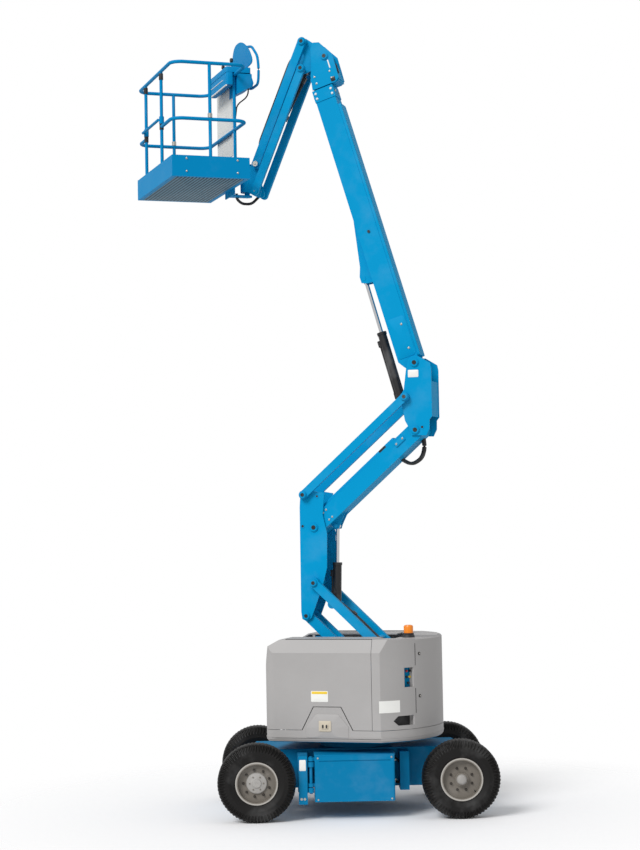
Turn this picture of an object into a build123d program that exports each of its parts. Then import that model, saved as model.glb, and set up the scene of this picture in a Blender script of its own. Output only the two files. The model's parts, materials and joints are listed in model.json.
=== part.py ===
from build123d import *
from math import atan2, cos, degrees, hypot, radians, sin, sqrt, tan
import os

# Articulated boom lift, millimetres, +Z up, origin on the ground below the slew axis.
# +X points to the steering end, -Y to the side seen first.

# Wheels and axles
WHEELBASE = 1880
TRACK = 1500
TYRE_R = 360
TYRE_W = 230
RIM_R = 184
RIM_W = 190
RIM_FLANGE = 12
RIM_SHEET = 10
DISC_SET_IN = 50
SPINDLE_R = 38
HUB_MOTOR_R = 122
KINGPIN_Y = 600
KINGPIN_R = 22
YOKE_HALF = 60
YOKE_REACH = 645
YOKE_SHEET = 26
KNUCKLE_H = 150
STEER_ARM = 130
STEER_ROD_R = 16
STEER_PIN_R = 10
AXLE_W = 120
AXLE_H = 140
AXLE_TOP = 450

# Chassis
FRAME_HALF_W = 350
FRAME_SHEET = 20
FRAME_TOP = 610
FRAME_LOW = 250
FRAME_HALF_L = 780
FRAME_REACH = 1010
BOX_X0, BOX_X1 = -406, 333
BOX_Z0, BOX_Z1 = 170, 590
BOX_Y0, BOX_Y1 = 400, 762
BOX_HINGE_X = -440
BOX_HINGE_Y = 735
BOX_HINGE_R = 14
SLEW_R = 330
SLEW_BORE_R = 245
SLEW_TOP = 655
TIE_HOLE_R = 18

# Running clearances
PIN_GAP = 0.4
PLAY = 5
SEAT_GAP = 0.3

# Turntable, in its own frame: +X outward below the boom, +Y the near side
UPPER_TURN = 162
DECK_Z = 700
DECK_T = 30
TAIL_R = 850
SIDE_Y = 720
FRONT_X = 680
COVER_SEAM_X = -370
COVER_TOP = 1645
COVER_LOW = 815
COVER_SHEET = 10
COVER_CORNER = 110
COVER_BEVEL_Z = 120
COVER_BEVEL_Y = 45
NOSE_CUT_X = 150
NOSE_CUT_Z = 290
CHANNEL_Y = 260
RAIL_W = 34
HINGE_XS = (-220, 400)
HINGE_LEN = 60
HINGE_Y = 277
HINGE_Z = 1604
HINGE_PIN_R = 8
SKIRT_LOW = 735
SKIRT_SHEET = 12
COUNTER_Y = 450
COUNTER_DEPTH = 330
COUNTER_LIP = 12
COUNTER_STEP_Z = 1470
TONGUE_X = 60
TONGUE_TOP_W = 260
TONGUE_FOOT_W = 480
TONGUE_RISE = 210

# Riser pins, seen from the near side as (x, z) in the turntable's frame
LOWER_BASE = (-670, 1213)
LOWER_ANGLE = 43.5
LOWER_LEN = 1370
RISER_ANGLE = 41.6
RISER_LEN = 1370
LOW_LINK_SET = (95, -317)
MID_RISE = 531
MID_SET = 5
HIGH_LINK_SET = (90, 315)
BOOM_PIN_RISE = 641
PIN_R = 24
PIN_HEAD_R = 36
PIN_HEAD_T = 10
PLATE_IN = 140
PLATE_T = 15
LOWER_ARM_IN = 160
LOWER_ARM_W = 55
LOWER_ARM_D = 84
LOW_LINK_IN = 80
LOW_LINK_W = 45
LOW_LINK_D = 96
RISER_HALF_W = 134
RISER_D = 160
HIGH_LINK_IN = 162
HIGH_LINK_W = 42
HIGH_LINK_D = 76

# Boom, in its own frame: origin at the pivot, +X towards the tip, +Z its top side
BOOM_ANGLE = 73.3
BOOM_HALF_W = 100
BOOM_D = 200
BOOM_DROP = 62
BOOM_TAIL = 75
BOOM_MOUTH = 2860
BOOM_WALL = 8
INNER_HALF_W = 78
INNER_D = 156
INNER_TAIL = 320
HEAD_IN = 92
HEAD_T = 14
NOSE_PIN = (3150, 55)
NOSE_PIN_R = 26
LUG_PIN = (948, -245)
EAR_IN = 42
EAR_T = 16

# Jib, seen from the near side as (x, z) in the turntable's frame
JIB_TOP_SET = (227, 164)
JIB_LINK_SET = (0, -275)
JIB_ANGLE = -67.2
JIB_LEN = 1273
JIB_D = 82
JIB_ARM_IN = 65
JIB_ARM_W = 48
JIB_LINK_IN = 120
JIB_LINK_W = 38
JIB_PIN_R = 20
BRACKET_IN = 42
BRACKET_T = 16

# Cylinders
RISER_CYL_FOOT = (825, 737)
RISER_CYL_EYE = (-194, 13)
BOOM_CYL_FOOT = (161, -372)
CYL_R = 42
CYL_ROD_R = 19
CYL_EYE_R = 34
CYL_PIN_R = 20
JIB_CYL_R = 30
JIB_ROD_R = 15
CYL_EYE_HALF = 28
ROD_EYE_R = 30
JIB_ROD_EYE_R = 24
RISER_CYL_CLOSED = 370
RISER_ROD_TAIL = 358
BOOM_CYL_CLOSED = 690
BOOM_ROD_TAIL = 560
JIB_CYL_CLOSED = 572
JIB_ROD_TAIL = 62

# Platform, in its own frame: origin below the rotator, +X outward
PLATFORM_TURN = 197.3
ROTATOR_REACH = 130
ROTATOR_R = 66
FLOOR_Z = 6010
FLOOR_X0 = 180
PLATFORM_L = 760
PLATFORM_W = 1420
FLOOR_T = 30
TOE_H = 200
RAIL_R = 17
RAIL_TOP = 1110
RAIL_MID = 555
RAIL_CORNER = 110
RAIL_R_POST = 16
ENTRY_Y0, ENTRY_Y1 = -376, 256
INNER_POST_Y = 275
BOX_IN_Y, BOX_OUT_Y = 40, 325


def prism(sketch, y0, y1):
    """Extrude a sketch drawn as (x, z) from y0 to y1."""
    return Pos(0, y0, 0) * extrude(Plane.XZ * sketch, amount=y0 - y1)


def twin(sketch, y_in, width):
    """The same slab on the near and the far side."""
    near = prism(sketch, y_in, y_in + width)
    return near + prism(sketch, -y_in - width, -y_in)


def block(x0, x1, y0, y1, z0, z1):
    """A box between two corners."""
    size = Box(x1 - x0, y1 - y0, z1 - z0)
    return Pos((x0 + x1) / 2, (y0 + y1) / 2, (z0 + z1) / 2) * size


def disc(at, radius):
    """A round sketch at (x, z)."""
    return Pos(at[0], at[1]) * Circle(radius)


def outline(points):
    """A closed face through (x, z) points."""
    return make_face(Polyline(*points, close=True))


def step_from(start, angle, length):
    """The point a length away from start, at an angle above +X."""
    return (start[0] + length * cos(radians(angle)), start[1] + length * sin(radians(angle)))


def shifted(point, offset):
    """A point moved by an offset."""
    return (point[0] + offset[0], point[1] + offset[1])


def turned(offset, angle):
    """An offset turned by an angle."""
    c, s = cos(radians(angle)), sin(radians(angle))
    return (offset[0] * c - offset[1] * s, offset[0] * s + offset[1] * c)


def span(p, q):
    """Length and angle from p to q."""
    return hypot(q[0] - p[0], q[1] - p[1]), degrees(atan2(q[1] - p[1], q[0] - p[0]))


def link_face(p, q, depth, boss, hole):
    """A straight link between two pins, with round ends and bored for the pins."""
    length, angle = span(p, q)
    mid = ((p[0] + q[0]) / 2, (p[1] + q[1]) / 2)
    face = Pos(*mid) * Rot(0, 0, angle) * Rectangle(length, depth)
    for end in (p, q):
        face += disc(end, boss)
    for end in (p, q):
        face -= disc(end, hole)
    return face


def headed_pin(at, radius, y_out):
    """A pin through both sides with a round head on each end."""
    pin = prism(disc(at, radius), -y_out, y_out)
    head = max(PIN_HEAD_R, radius + 12)
    return pin + twin(disc(at, head), y_out, PIN_HEAD_T)


def along(p, angle):
    """Place a shape modelled along +X at p, turned by an angle in the side view."""
    return Pos(p[0], 0, p[1]) * Rot(0, -angle, 0)


def cylinder_barrel(foot, eye, closed, radius, rod_r, pin_hole):
    """A hydraulic barrel with its foot eye, gland and side pipe, from foot towards eye."""
    _, angle = span(foot, eye)
    body = prism(disc((0, 0), CYL_EYE_R) - disc((0, 0), pin_hole), -CYL_EYE_HALF, CYL_EYE_HALF)
    tube = Pos(CYL_EYE_R - 8, 0, 0) * extrude(Plane.YZ * Circle(radius), amount=closed - CYL_EYE_R + 9)
    gland = Pos(closed, 0, 0) * extrude(Plane.YZ * Circle(radius + 5), amount=26)
    bore = Pos(CYL_EYE_R + 6, 0, 0) * extrude(Plane.YZ * Circle(rod_r + PIN_GAP), amount=closed)
    pipe = Pos(CYL_EYE_R + 30, 0, -radius - 6) * extrude(Plane.YZ * Circle(9), amount=closed - 110)
    lug = block(CYL_EYE_R + 20, CYL_EYE_R + 80, -14, 14, -radius - 16, -radius + 8)
    valve = block(closed - 110, closed - 50, -18, 18, -radius - 22, -radius + 8)
    return along(foot, angle) * (body + tube + gland + pipe + lug + valve - bore)


def cylinder_rod(foot, eye, tail, radius, eye_r):
    """The chromed rod with its eye, reaching back into the barrel to the tail distance."""
    length, angle = span(foot, eye)
    rod = Pos(tail, 0, 0) * extrude(Plane.YZ * Circle(radius), amount=length - tail - 10)
    ring = prism(disc((length, 0), eye_r), -CYL_EYE_HALF + 4, CYL_EYE_HALF - 4)
    return along(foot, angle) * (rod + ring)


# Pins of the risers, the boom and the jib, worked out from the foot upwards
MID_LOW = step_from(LOWER_BASE, LOWER_ANGLE, LOWER_LEN)
LINK_BASE = shifted(LOWER_BASE, LOW_LINK_SET)
MID_LINK = shifted(MID_LOW, LOW_LINK_SET)
RISER_FOOT = shifted(MID_LOW, (MID_SET, MID_RISE))
HIGH_LINK_FOOT = shifted(RISER_FOOT, HIGH_LINK_SET)
TOWER_LOW = step_from(RISER_FOOT, 180 - RISER_ANGLE, RISER_LEN)
TOWER_LINK = shifted(TOWER_LOW, HIGH_LINK_SET)
BOOM_PIVOT = shifted(TOWER_LOW, (-4, BOOM_PIN_RISE))
NOSE_PIVOT = shifted(BOOM_PIVOT, turned(NOSE_PIN, BOOM_ANGLE))
BOOM_EYE = shifted(BOOM_PIVOT, turned(LUG_PIN, BOOM_ANGLE))
BOOM_FOOT = shifted(BOOM_PIVOT, BOOM_CYL_FOOT)
RISER_CYL_LOW = shifted(LOWER_BASE, RISER_CYL_FOOT)
RISER_CYL_TOP = shifted(RISER_FOOT, RISER_CYL_EYE)
JIB_TOP = shifted(NOSE_PIVOT, JIB_TOP_SET)
JIB_TOP_LINK = shifted(JIB_TOP, JIB_LINK_SET)
JIB_END = step_from(JIB_TOP, JIB_ANGLE, JIB_LEN)
JIB_END_LINK = shifted(JIB_END, JIB_LINK_SET)
ROTATOR_X = JIB_END[0] + ROTATOR_REACH


def tyre():
    """One tyre about the Y axis, its tread face between two rounded shoulders."""
    half = TYRE_W / 2
    bead = RIM_R + SEAT_GAP
    profile = [(bead, -80), (RIM_R + 22, -98), (TYRE_R * 0.74, -half), (TYRE_R * 0.90, -half + 4),
               (TYRE_R * 0.965, -half + 15), (TYRE_R, -half + 40)]
    back = [(r, -y) for r, y in reversed(profile)]
    return revolve(outline(profile + back), Axis.Y)


def rim(hub_r, hub_out):
    """One rim about the Y axis: barrel, two flanges, a dished disc and its hub. -Y is outside."""
    half = RIM_W / 2
    disc_y = -half + DISC_SET_IN
    rows = [
        # inner radius, outer radius, y from, y to
        (RIM_R - RIM_SHEET, RIM_R, -half + 4, half - 4),
        (RIM_R - RIM_SHEET, RIM_R + RIM_FLANGE, -half - 8, -half),
        (RIM_R - RIM_SHEET, RIM_R + RIM_FLANGE, half, half + 8),
        (RIM_R - RIM_SHEET, RIM_R, -half - 8, half + 8),
        (SPINDLE_R + PIN_GAP, RIM_R - 2, disc_y, disc_y + RIM_SHEET),
        (SPINDLE_R + PIN_GAP, hub_r, disc_y - hub_out + 8, disc_y + 26),
        (0, hub_r * 0.8, disc_y - hub_out, disc_y - hub_out + 10),
    ]
    whole = None
    for r0, r1, y0, y1 in rows:
        ring = revolve(outline([(r0, y0), (r1, y0), (r1, y1), (r0, y1)]), Axis.Y)
        whole = ring if whole is None else whole + ring
    return whole


def wheels():
    """Four wheels, the drive pair with wide hubs and the steered pair with small hub caps."""
    nodes = {}
    table = [
        # name, x side, y side, hub radius, hub stand-out
        ("drive_near", -1, -1, 96, 22),
        ("drive_far", -1, 1, 96, 22),
        ("steer_near", 1, -1, 62, 46),
        ("steer_far", 1, 1, 62, 46),
    ]
    for name, x_side, y_side, hub_r, hub_out in table:
        face_turn = 0 if y_side < 0 else 180
        place = Pos(x_side * WHEELBASE / 2, y_side * TRACK / 2, TYRE_R) * Rot(0, 0, face_turn)
        nodes["tyre_" + name] = place * tyre()
        nodes["rim_" + name] = place * rim(hub_r, hub_out)
    return nodes


# Where the spindles end: just short of the hub's closing plate
SPINDLE_END = TRACK / 2 + RIM_W / 2 - DISC_SET_IN - 2


def drive_axle():
    """The fixed drive axle with a hub motor and a spindle at each end."""
    x = -WHEELBASE / 2
    beam = block(x - AXLE_W / 2, x + AXLE_W / 2, -520, 520, TYRE_R - AXLE_H / 2, TYRE_R + AXLE_H / 2)
    body = beam
    motor_end = TRACK / 2 + RIM_W / 2 - DISC_SET_IN - 26 - PLAY - RIM_SHEET
    for side in (-1, 1):
        ends = [
            # radius, from, to
            (HUB_MOTOR_R, 500, motor_end),
            (SPINDLE_R, motor_end - 1, SPINDLE_END),
        ]
        for radius, y0, y1 in ends:
            low, high = sorted((side * y0, side * y1))
            body += prism(disc((x, TYRE_R), radius), low, high)
    body += block(x - 90, x + 90, -FRAME_HALF_W - 10, FRAME_HALF_W + 10, TYRE_R + AXLE_H / 2 - 1, AXLE_TOP)
    return body


def steer_axle():
    """The steered axle beam with a fork at each end, and the steering cylinder's body."""
    x = WHEELBASE / 2
    body = block(x - AXLE_W / 2, x + AXLE_W / 2, -490, 490, TYRE_R - AXLE_H / 2, TYRE_R + AXLE_H / 2)
    body += block(x - 90, x + 90, -FRAME_HALF_W - 10, FRAME_HALF_W + 10, TYRE_R + AXLE_H / 2 - 1, AXLE_TOP)
    fork = KNUCKLE_H / 2 + PLAY
    for side in (-1, 1):
        web = sorted((side * 470, side * 495))
        body += block(x - YOKE_HALF, x + YOKE_HALF, web[0], web[1], TYRE_R - fork - YOKE_SHEET, TYRE_R + fork + YOKE_SHEET)
        for z0 in (TYRE_R + fork, TYRE_R - fork - YOKE_SHEET):
            ear = sorted((side * 470, side * YOKE_REACH))
            body += block(x - YOKE_HALF, x + YOKE_HALF, ear[0], ear[1], z0, z0 + YOKE_SHEET)
        hole = Pos(x, side * KINGPIN_Y, TYRE_R) * Cylinder(KINGPIN_R + PIN_GAP, 400)
        body -= hole
    rod_x = x - STEER_ARM
    body += prism(disc((rod_x, TYRE_R), 40), -190, 190)
    body += block(rod_x - 20, x - AXLE_W / 2 + 1, -60, 60, TYRE_R - 30, TYRE_R + 30)
    body -= prism(disc((rod_x, TYRE_R), STEER_ROD_R + PIN_GAP), -200, 200)
    return body


def knuckle(side):
    """A steering knuckle: kingpin, block, spindle and a forked arm."""
    x = WHEELBASE / 2
    y = side * KINGPIN_Y
    half = KNUCKLE_H / 2
    body = Pos(x, y, TYRE_R) * Cylinder(42, KNUCKLE_H)
    body += Pos(x, y, TYRE_R) * Cylinder(KINGPIN_R, KNUCKLE_H + 2 * PLAY + 2 * YOKE_SHEET + 8)
    flange = sorted((side * (YOKE_REACH + 8), side * (YOKE_REACH + 24)))
    body += prism(disc((x, TYRE_R), 70), flange[0], flange[1])
    neck = sorted((y, side * (YOKE_REACH + 24)))
    body += block(x - 38, x + 38, neck[0], neck[1], TYRE_R - half + 12, TYRE_R + half - 12)
    stub = sorted((side * (YOKE_REACH + 20), side * SPINDLE_END))
    body += prism(disc((x, TYRE_R), SPINDLE_R), stub[0], stub[1])
    arm_z = TYRE_R + STEER_ROD_R + PLAY
    half_w = STEER_PIN_R + 6
    body += block(x - STEER_ARM - 48, x - 20, y - half_w - 12, y + half_w + 12, arm_z, arm_z + 20)
    body -= block(x - STEER_ARM - 60, x - STEER_ARM + 24, y - half_w, y + half_w, arm_z - 5, arm_z + 25)
    return body


def steer_rod():
    """The sliding rod through the steering cylinder."""
    x = WHEELBASE / 2 - STEER_ARM
    body = prism(disc((x, TYRE_R), STEER_ROD_R), -KINGPIN_Y - 14, KINGPIN_Y + 14)
    for y in (-KINGPIN_Y, KINGPIN_Y):
        body += Pos(x, y, TYRE_R + 22) * Cylinder(STEER_PIN_R, 44)
    return body


def chassis_frame():
    """Two side plates on edge, a top plate, cross walls and the brackets of the side boxes."""
    side = [(-FRAME_REACH, AXLE_TOP), (-FRAME_HALF_L + 60, AXLE_TOP), (-FRAME_HALF_L + 120, FRAME_LOW),
            (FRAME_HALF_L - 120, FRAME_LOW), (FRAME_HALF_L - 60, AXLE_TOP), (FRAME_REACH, AXLE_TOP),
            (FRAME_REACH, FRAME_TOP - 40), (FRAME_REACH - 60, FRAME_TOP),
            (-FRAME_REACH + 60, FRAME_TOP), (-FRAME_REACH, FRAME_TOP - 40)]
    body = twin(outline(side), FRAME_HALF_W - FRAME_SHEET, FRAME_SHEET)
    inner = FRAME_HALF_W - FRAME_SHEET
    body += block(-FRAME_REACH + 60, FRAME_REACH - 60, -inner, inner, FRAME_TOP - FRAME_SHEET, FRAME_TOP)
    for x in (-FRAME_HALF_L + 130, -300, 300, FRAME_HALF_L - 150):
        body += block(x, x + FRAME_SHEET, -inner, inner, FRAME_LOW, FRAME_TOP - FRAME_SHEET)
    for x in (-FRAME_REACH, FRAME_REACH - FRAME_SHEET):
        body += block(x, x + FRAME_SHEET, -inner, inner, AXLE_TOP, FRAME_TOP - 40)
    for x in (-FRAME_REACH, FRAME_REACH - FRAME_SHEET):
        for y in (-250, 250):
            body -= Pos(x + FRAME_SHEET / 2, y, 510) * Rot(0, 90, 0) * Cylinder(TIE_HOLE_R, FRAME_SHEET * 3)
    for s in (-1, 1):
        ledge = sorted((s * FRAME_HALF_W, s * 540))
        body += block(BOX_X1 + 60, 480, ledge[0], ledge[1], 235, FRAME_TOP - 20)
        body += block(-560, BOX_HINGE_X - 30, ledge[0], ledge[1], 235, FRAME_TOP - 20)
        tray = sorted((s * FRAME_HALF_W, s * (BOX_Y0 - 8)))
        body += block(-380, 300, tray[0], tray[1], 260, 300)
        for z in (255, 490):
            arm = sorted((s * 500, s * (BOX_HINGE_Y - 10)))
            body += block(-515, BOX_HINGE_X - 30, arm[0], arm[1], z, z + 45)
            eye = Pos(BOX_HINGE_X, s * BOX_HINGE_Y, z + 22.5) * Cylinder(28, 45)
            plate = sorted((s * (BOX_HINGE_Y - 40), s * (BOX_HINGE_Y - 6)))
            body += block(-500, BOX_HINGE_X, plate[0], plate[1], z, z + 45) + eye
            body -= Pos(BOX_HINGE_X, s * BOX_HINGE_Y, z + 22.5) * Cylinder(BOX_HINGE_R + PIN_GAP, 60)
    return body


def slew_ring():
    """The lower race of the slewing ring."""
    height = SLEW_TOP - FRAME_TOP
    ring = Cylinder(SLEW_R, height) - Cylinder(SLEW_BORE_R, height + 2)
    return Pos(0, 0, (SLEW_TOP + FRAME_TOP) / 2) * ring


def battery_box(s):
    """A swing-out box with its lid step, its hinge pin and two hinge straps."""
    low, high = sorted((s * BOX_Y0, s * BOX_Y1))
    body = block(BOX_X0, BOX_X1, low, high, BOX_Z0, BOX_Z1)
    body = fillet(body.edges().filter_by(Axis.Z), 18)
    rim_low, rim_high = sorted((s * BOX_Y1, s * (BOX_Y1 - 20)))
    face = block(BOX_X0 + 40, BOX_X1 - 40, rim_low, rim_high, BOX_Z1 - 52, BOX_Z1 - 44)
    body -= Pos(0, s * 14, 0) * face
    for z in (310, 545):
        strap = sorted((s * (BOX_HINGE_Y - 8), s * (BOX_HINGE_Y + 8)))
        body += block(BOX_HINGE_X, BOX_X0 + 60, strap[0], strap[1], z, z + 30)
        body += Pos(BOX_HINGE_X, s * BOX_HINGE_Y, z + 15) * Cylinder(26, 30)
    body += Pos(BOX_HINGE_X, s * BOX_HINGE_Y, 415) * Cylinder(BOX_HINGE_R, 340)
    return body


def deck_face(inset):
    """Plan of the turntable: a round tail, straight sides and a straight front."""
    tail = Circle(TAIL_R - inset)
    front = FRONT_X - inset
    tail_x = -TAIL_R
    band = Pos((front + tail_x) / 2, 0) * Rectangle(front - tail_x, 2 * (SIDE_Y - inset))
    nose_x = -sqrt(TAIL_R ** 2 - SIDE_Y ** 2)
    body = Pos((front + nose_x) / 2, 0) * Rectangle(front - nose_x, 2 * (SIDE_Y - inset))
    body = fillet(body.vertices().group_by(Axis.X)[-1], COVER_CORNER - inset)
    return body + (tail & band & (Pos(-TAIL_R / 2, 0) * Rectangle(TAIL_R, 2 * SIDE_Y)))


def turntable_frame():
    """Deck plate, upper race, two upright plates for the riser pins and the cover rails."""
    body = Pos(0, 0, DECK_Z) * extrude(deck_face(20), amount=DECK_T)
    race = Cylinder(SLEW_R - 25, DECK_Z - SLEW_TOP) - Cylinder(SLEW_BORE_R, DECK_Z)
    body += Pos(0, 0, (DECK_Z + SLEW_TOP) / 2 + SEAT_GAP / 2) * race
    floor = DECK_Z + DECK_T - 1
    foot_x = LOWER_BASE[0]
    upright = [(foot_x - 70, floor), (foot_x + 330, floor), (foot_x + 190, LINK_BASE[1] + 60),
               (foot_x + 60, LOWER_BASE[1] + 20), (foot_x + 30, LOWER_BASE[1] + 62),
               (foot_x - 50, LOWER_BASE[1] + 62), (foot_x - 70, LOWER_BASE[1])]
    body += twin(outline(upright), PLATE_IN, PLATE_T)
    body += block(foot_x - 70, foot_x - 50, -PLATE_IN, PLATE_IN, floor, LOWER_BASE[1] - 60)
    body += headed_pin(LOWER_BASE, PIN_R, LOWER_ARM_IN + LOWER_ARM_W + 4)
    body += headed_pin(LINK_BASE, PIN_R, PLATE_IN + PLATE_T)
    rail, front, top = RAIL_W, FRONT_X - 100, COVER_TOP - 60
    for s in (-1, 1):
        y0, y1 = sorted((s * CHANNEL_Y, s * (CHANNEL_Y + rail)))
        back = -TAIL_R + COUNTER_DEPTH + PLAY
        body += block(back, front, y0, y1, top - rail, top)
        body += block(front - rail, front, y0, y1, floor, top)
        body += block(COVER_SEAM_X - rail, COVER_SEAM_X, y0, y1, floor, top)
        for x in HINGE_XS:
            body += block(x, x + HINGE_LEN, y0, y1, top - 1, HINGE_Z + HINGE_PIN_R + 8)
        body -= Pos(0, s * HINGE_Y, HINGE_Z) * Rot(0, 90, 0) * Cylinder(HINGE_PIN_R + PIN_GAP, 2 * FRONT_X)
    return body


def counterweight():
    """The cast tail weight: a round outer face, cut back in the middle for the arms."""
    floor = DECK_Z + DECK_T
    plan = Circle(TAIL_R) & (Pos(-TAIL_R + COUNTER_DEPTH / 2, 0) * Rectangle(COUNTER_DEPTH, 2 * COUNTER_Y))
    plan -= Pos(-TAIL_R + 90 + 300, 0) * Rectangle(600, 2 * CHANNEL_Y)
    body = Pos(0, 0, COVER_LOW) * extrude(plan, amount=COVER_TOP - COVER_LOW)
    body = chamfer(body.edges().group_by(Axis.Z)[-1], 12)
    body -= Pos(0, 0, COUNTER_STEP_Z) * extrude(
        (Pos(-TAIL_R / 2, 0) * Rectangle(TAIL_R, 2 * CHANNEL_Y)) & Circle(TAIL_R - COUNTER_LIP), amount=TAIL_R)
    foot = plan & Circle(TAIL_R - 24)
    return body + Pos(0, 0, floor + SEAT_GAP) * extrude(foot, amount=COVER_LOW + 1 - floor)


def side_shell(inset, low):
    """The closed outer form of the covers, drawn in by a sheet's thickness."""
    top = COVER_TOP - inset
    plan = Pos(0, 0, low) * extrude(deck_face(inset), amount=top - low)
    half = SIDE_Y - inset
    section = [(-half, low), (half, low), (half, top - COVER_BEVEL_Z), (half - COVER_BEVEL_Y, top),
               (-half + COVER_BEVEL_Y, top), (-half, top - COVER_BEVEL_Z)]
    across = extrude(Plane.YZ * outline(section), amount=2 * TAIL_R, both=True)
    front = FRONT_X - inset
    profile = [(-TAIL_R, low), (front, low), (front, top - NOSE_CUT_Z), (front - 40, top - 60),
               (front - NOSE_CUT_X, top), (-TAIL_R, top)]
    return plan & across & prism(outline(profile), -TAIL_R, TAIL_R)


def tongue(extra):
    """The raised tongue of the skirt below a cover, seen from the side."""
    foot = TONGUE_FOOT_W / 2 + extra
    head = TONGUE_TOP_W / 2 + extra
    rise = COVER_LOW + TONGUE_RISE + extra
    x = TONGUE_X
    return outline([(x - foot, SKIRT_LOW), (x + foot, SKIRT_LOW), (x + foot, COVER_LOW + extra),
                    (x + head, rise), (x - head, rise), (x - foot, COVER_LOW + extra)])


def power_blocks():
    """The heavy masses inside the covers: an engine on one side, a tank on the other."""
    floor = DECK_Z + DECK_T + SEAT_GAP
    engine = block(-300, 420, 330, 640, floor, 1330)
    tank = block(-300, 420, -640, -330, floor, 1240)
    return engine, tank


def cover(s):
    """A gull-wing side cover, open below and towards the channel."""
    shell = side_shell(0, COVER_LOW) - side_shell(COVER_SHEET, COVER_LOW - 1)
    y0, y1 = sorted((s * (CHANNEL_Y + 2), s * (SIDE_Y + 10)))
    shell &= block(COVER_SEAM_X + 2, FRONT_X + 10, y0, y1, COVER_LOW, COVER_TOP + 5)
    hatch = sorted((s * (SIDE_Y - 60), s * (SIDE_Y + 20)))
    shell -= prism(tongue(6), hatch[0], hatch[1])
    for x in HINGE_XS:
        pin = Rot(0, 90, 0) * Cylinder(HINGE_PIN_R, HINGE_LEN + 60)
        shell += Pos(x + HINGE_LEN / 2, s * HINGE_Y, HINGE_Z) * pin
        for x0 in (x - 30, x + HINGE_LEN + PLAY):
            shell += block(x0, x0 + 25, s * HINGE_Y - 9, s * HINGE_Y + 9, HINGE_Z - 9, COVER_TOP - COVER_SHEET + 1)
    return shell


def corner_panels():
    """The fixed rear corner panels, the near one with its pocket and its slot."""
    shell = side_shell(0, COVER_LOW) - side_shell(COVER_SHEET, COVER_LOW - 1)
    body = None
    for s in (-1, 1):
        y0, y1 = sorted((s * (COUNTER_Y + SEAT_GAP), s * (SIDE_Y + 10)))
        part = shell & block(-TAIL_R, COVER_SEAM_X - 2, y0, y1, COVER_LOW, COVER_TOP + 5)
        body = part if body is None else body + part
    pocket_y = (COUNTER_Y + 20, SIDE_Y + 20)
    body -= block(-730, -640, pocket_y[0], pocket_y[1], 1200, 1380)
    slot = outline([(-730, 852), (-590, 852), (-552, 896), (-590, 940), (-730, 940)])
    body -= prism(slot, pocket_y[0], pocket_y[1])
    return body


def skirt():
    """The band round the foot of the covers, with a tongue on each side."""
    band = extrude(deck_face(0) - deck_face(SKIRT_SHEET), amount=COVER_LOW - 4 - SKIRT_LOW)
    body = Pos(0, 0, SKIRT_LOW) * band
    body -= block(0, FRONT_X + 20, -CHANNEL_Y, CHANNEL_Y, SKIRT_LOW - 1, COVER_LOW)
    for s in (-1, 1):
        y0, y1 = sorted((s * (SIDE_Y - SKIRT_SHEET), s * SIDE_Y))
        body += prism(tongue(0), y0, y1)
    lip = extrude(deck_face(0) - deck_face(22), amount=6)
    return body + Pos(0, 0, DECK_Z + DECK_T + SEAT_GAP) * lip


def beacon():
    """The warning lamp: a foot and a ribbed lens."""
    foot = Cylinder(60, 34)
    lens = Pos(0, 0, 60) * Cylinder(46, 86)
    lens = chamfer(lens.edges().group_by(Axis.Z)[-1], 12)
    return Pos(-625, 300, COVER_TOP + SEAT_GAP + 17) * (foot + lens)


def lower_arms():
    """The pair of lower riser arms, a cross tube and the foot of the riser cylinder."""
    face = link_face(LOWER_BASE, MID_LOW, LOWER_ARM_D, LOWER_ARM_D / 2 + 8, PIN_R + PIN_GAP)
    body = twin(face, LOWER_ARM_IN, LOWER_ARM_W)
    low = RISER_CYL_LOW
    near_arm = step_from(LOWER_BASE, LOWER_ANGLE, LOWER_LEN * 0.82)
    hanger = link_face(near_arm, low, 70, 42, 1)
    body += twin(hanger, LOWER_ARM_IN, 20)
    body += prism(disc(low, PIN_R), -LOWER_ARM_IN - 10, LOWER_ARM_IN + 10)
    cross = step_from(LOWER_BASE, LOWER_ANGLE, LOWER_LEN * 0.42)
    body += prism(disc(cross, 34), -LOWER_ARM_IN - 5, LOWER_ARM_IN + 5)
    return body


def lowest_links():
    """The pair of lower levelling links."""
    face = link_face(LINK_BASE, MID_LINK, LOW_LINK_D, LOW_LINK_D / 2, PIN_R + PIN_GAP)
    body = twin(face, LOW_LINK_IN, LOW_LINK_W)
    cross = step_from(LINK_BASE, LOWER_ANGLE, LOWER_LEN * 0.62)
    return body + prism(disc(cross, 24), -LOW_LINK_IN - 5, LOW_LINK_IN + 5)


def mid_tower():
    """The tower between the lower and the upper risers: two shaped plates and a front web."""
    low, link, riser, high = MID_LOW, MID_LINK, RISER_FOOT, HIGH_LINK_FOOT
    plate = [(link[0] - 50, link[1] - 20), (link[0], link[1] - 52), (link[0] + 42, link[1] - 30),
             (link[0] + 52, link[1] + 40), (high[0] + 50, riser[1] + 200), (high[0] + 40, high[1] + 20),
             (high[0], high[1] + 46), (high[0] - 60, high[1] + 40), (riser[0] - 110, riser[1] + 330),
             (riser[0] - 90, riser[1] + 120), (riser[0] - 130, riser[1] - 60), (low[0] - 118, low[1] + 140),
             (low[0] - 70, low[1] - 40)]
    body = twin(outline(plate), PLATE_IN, PLATE_T)
    body += block(link[0] + 20, link[0] + 32, -PLATE_IN, PLATE_IN, link[1] + 70, riser[1] - 130)
    body += headed_pin(low, PIN_R, LOWER_ARM_IN + LOWER_ARM_W + 4)
    body += headed_pin(link, PIN_R, PLATE_IN + PLATE_T)
    body += headed_pin(riser, PIN_R + 6, PLATE_IN + PLATE_T)
    body += headed_pin(high, PIN_R - 4, HIGH_LINK_IN + HIGH_LINK_W + 4)
    return body


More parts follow.
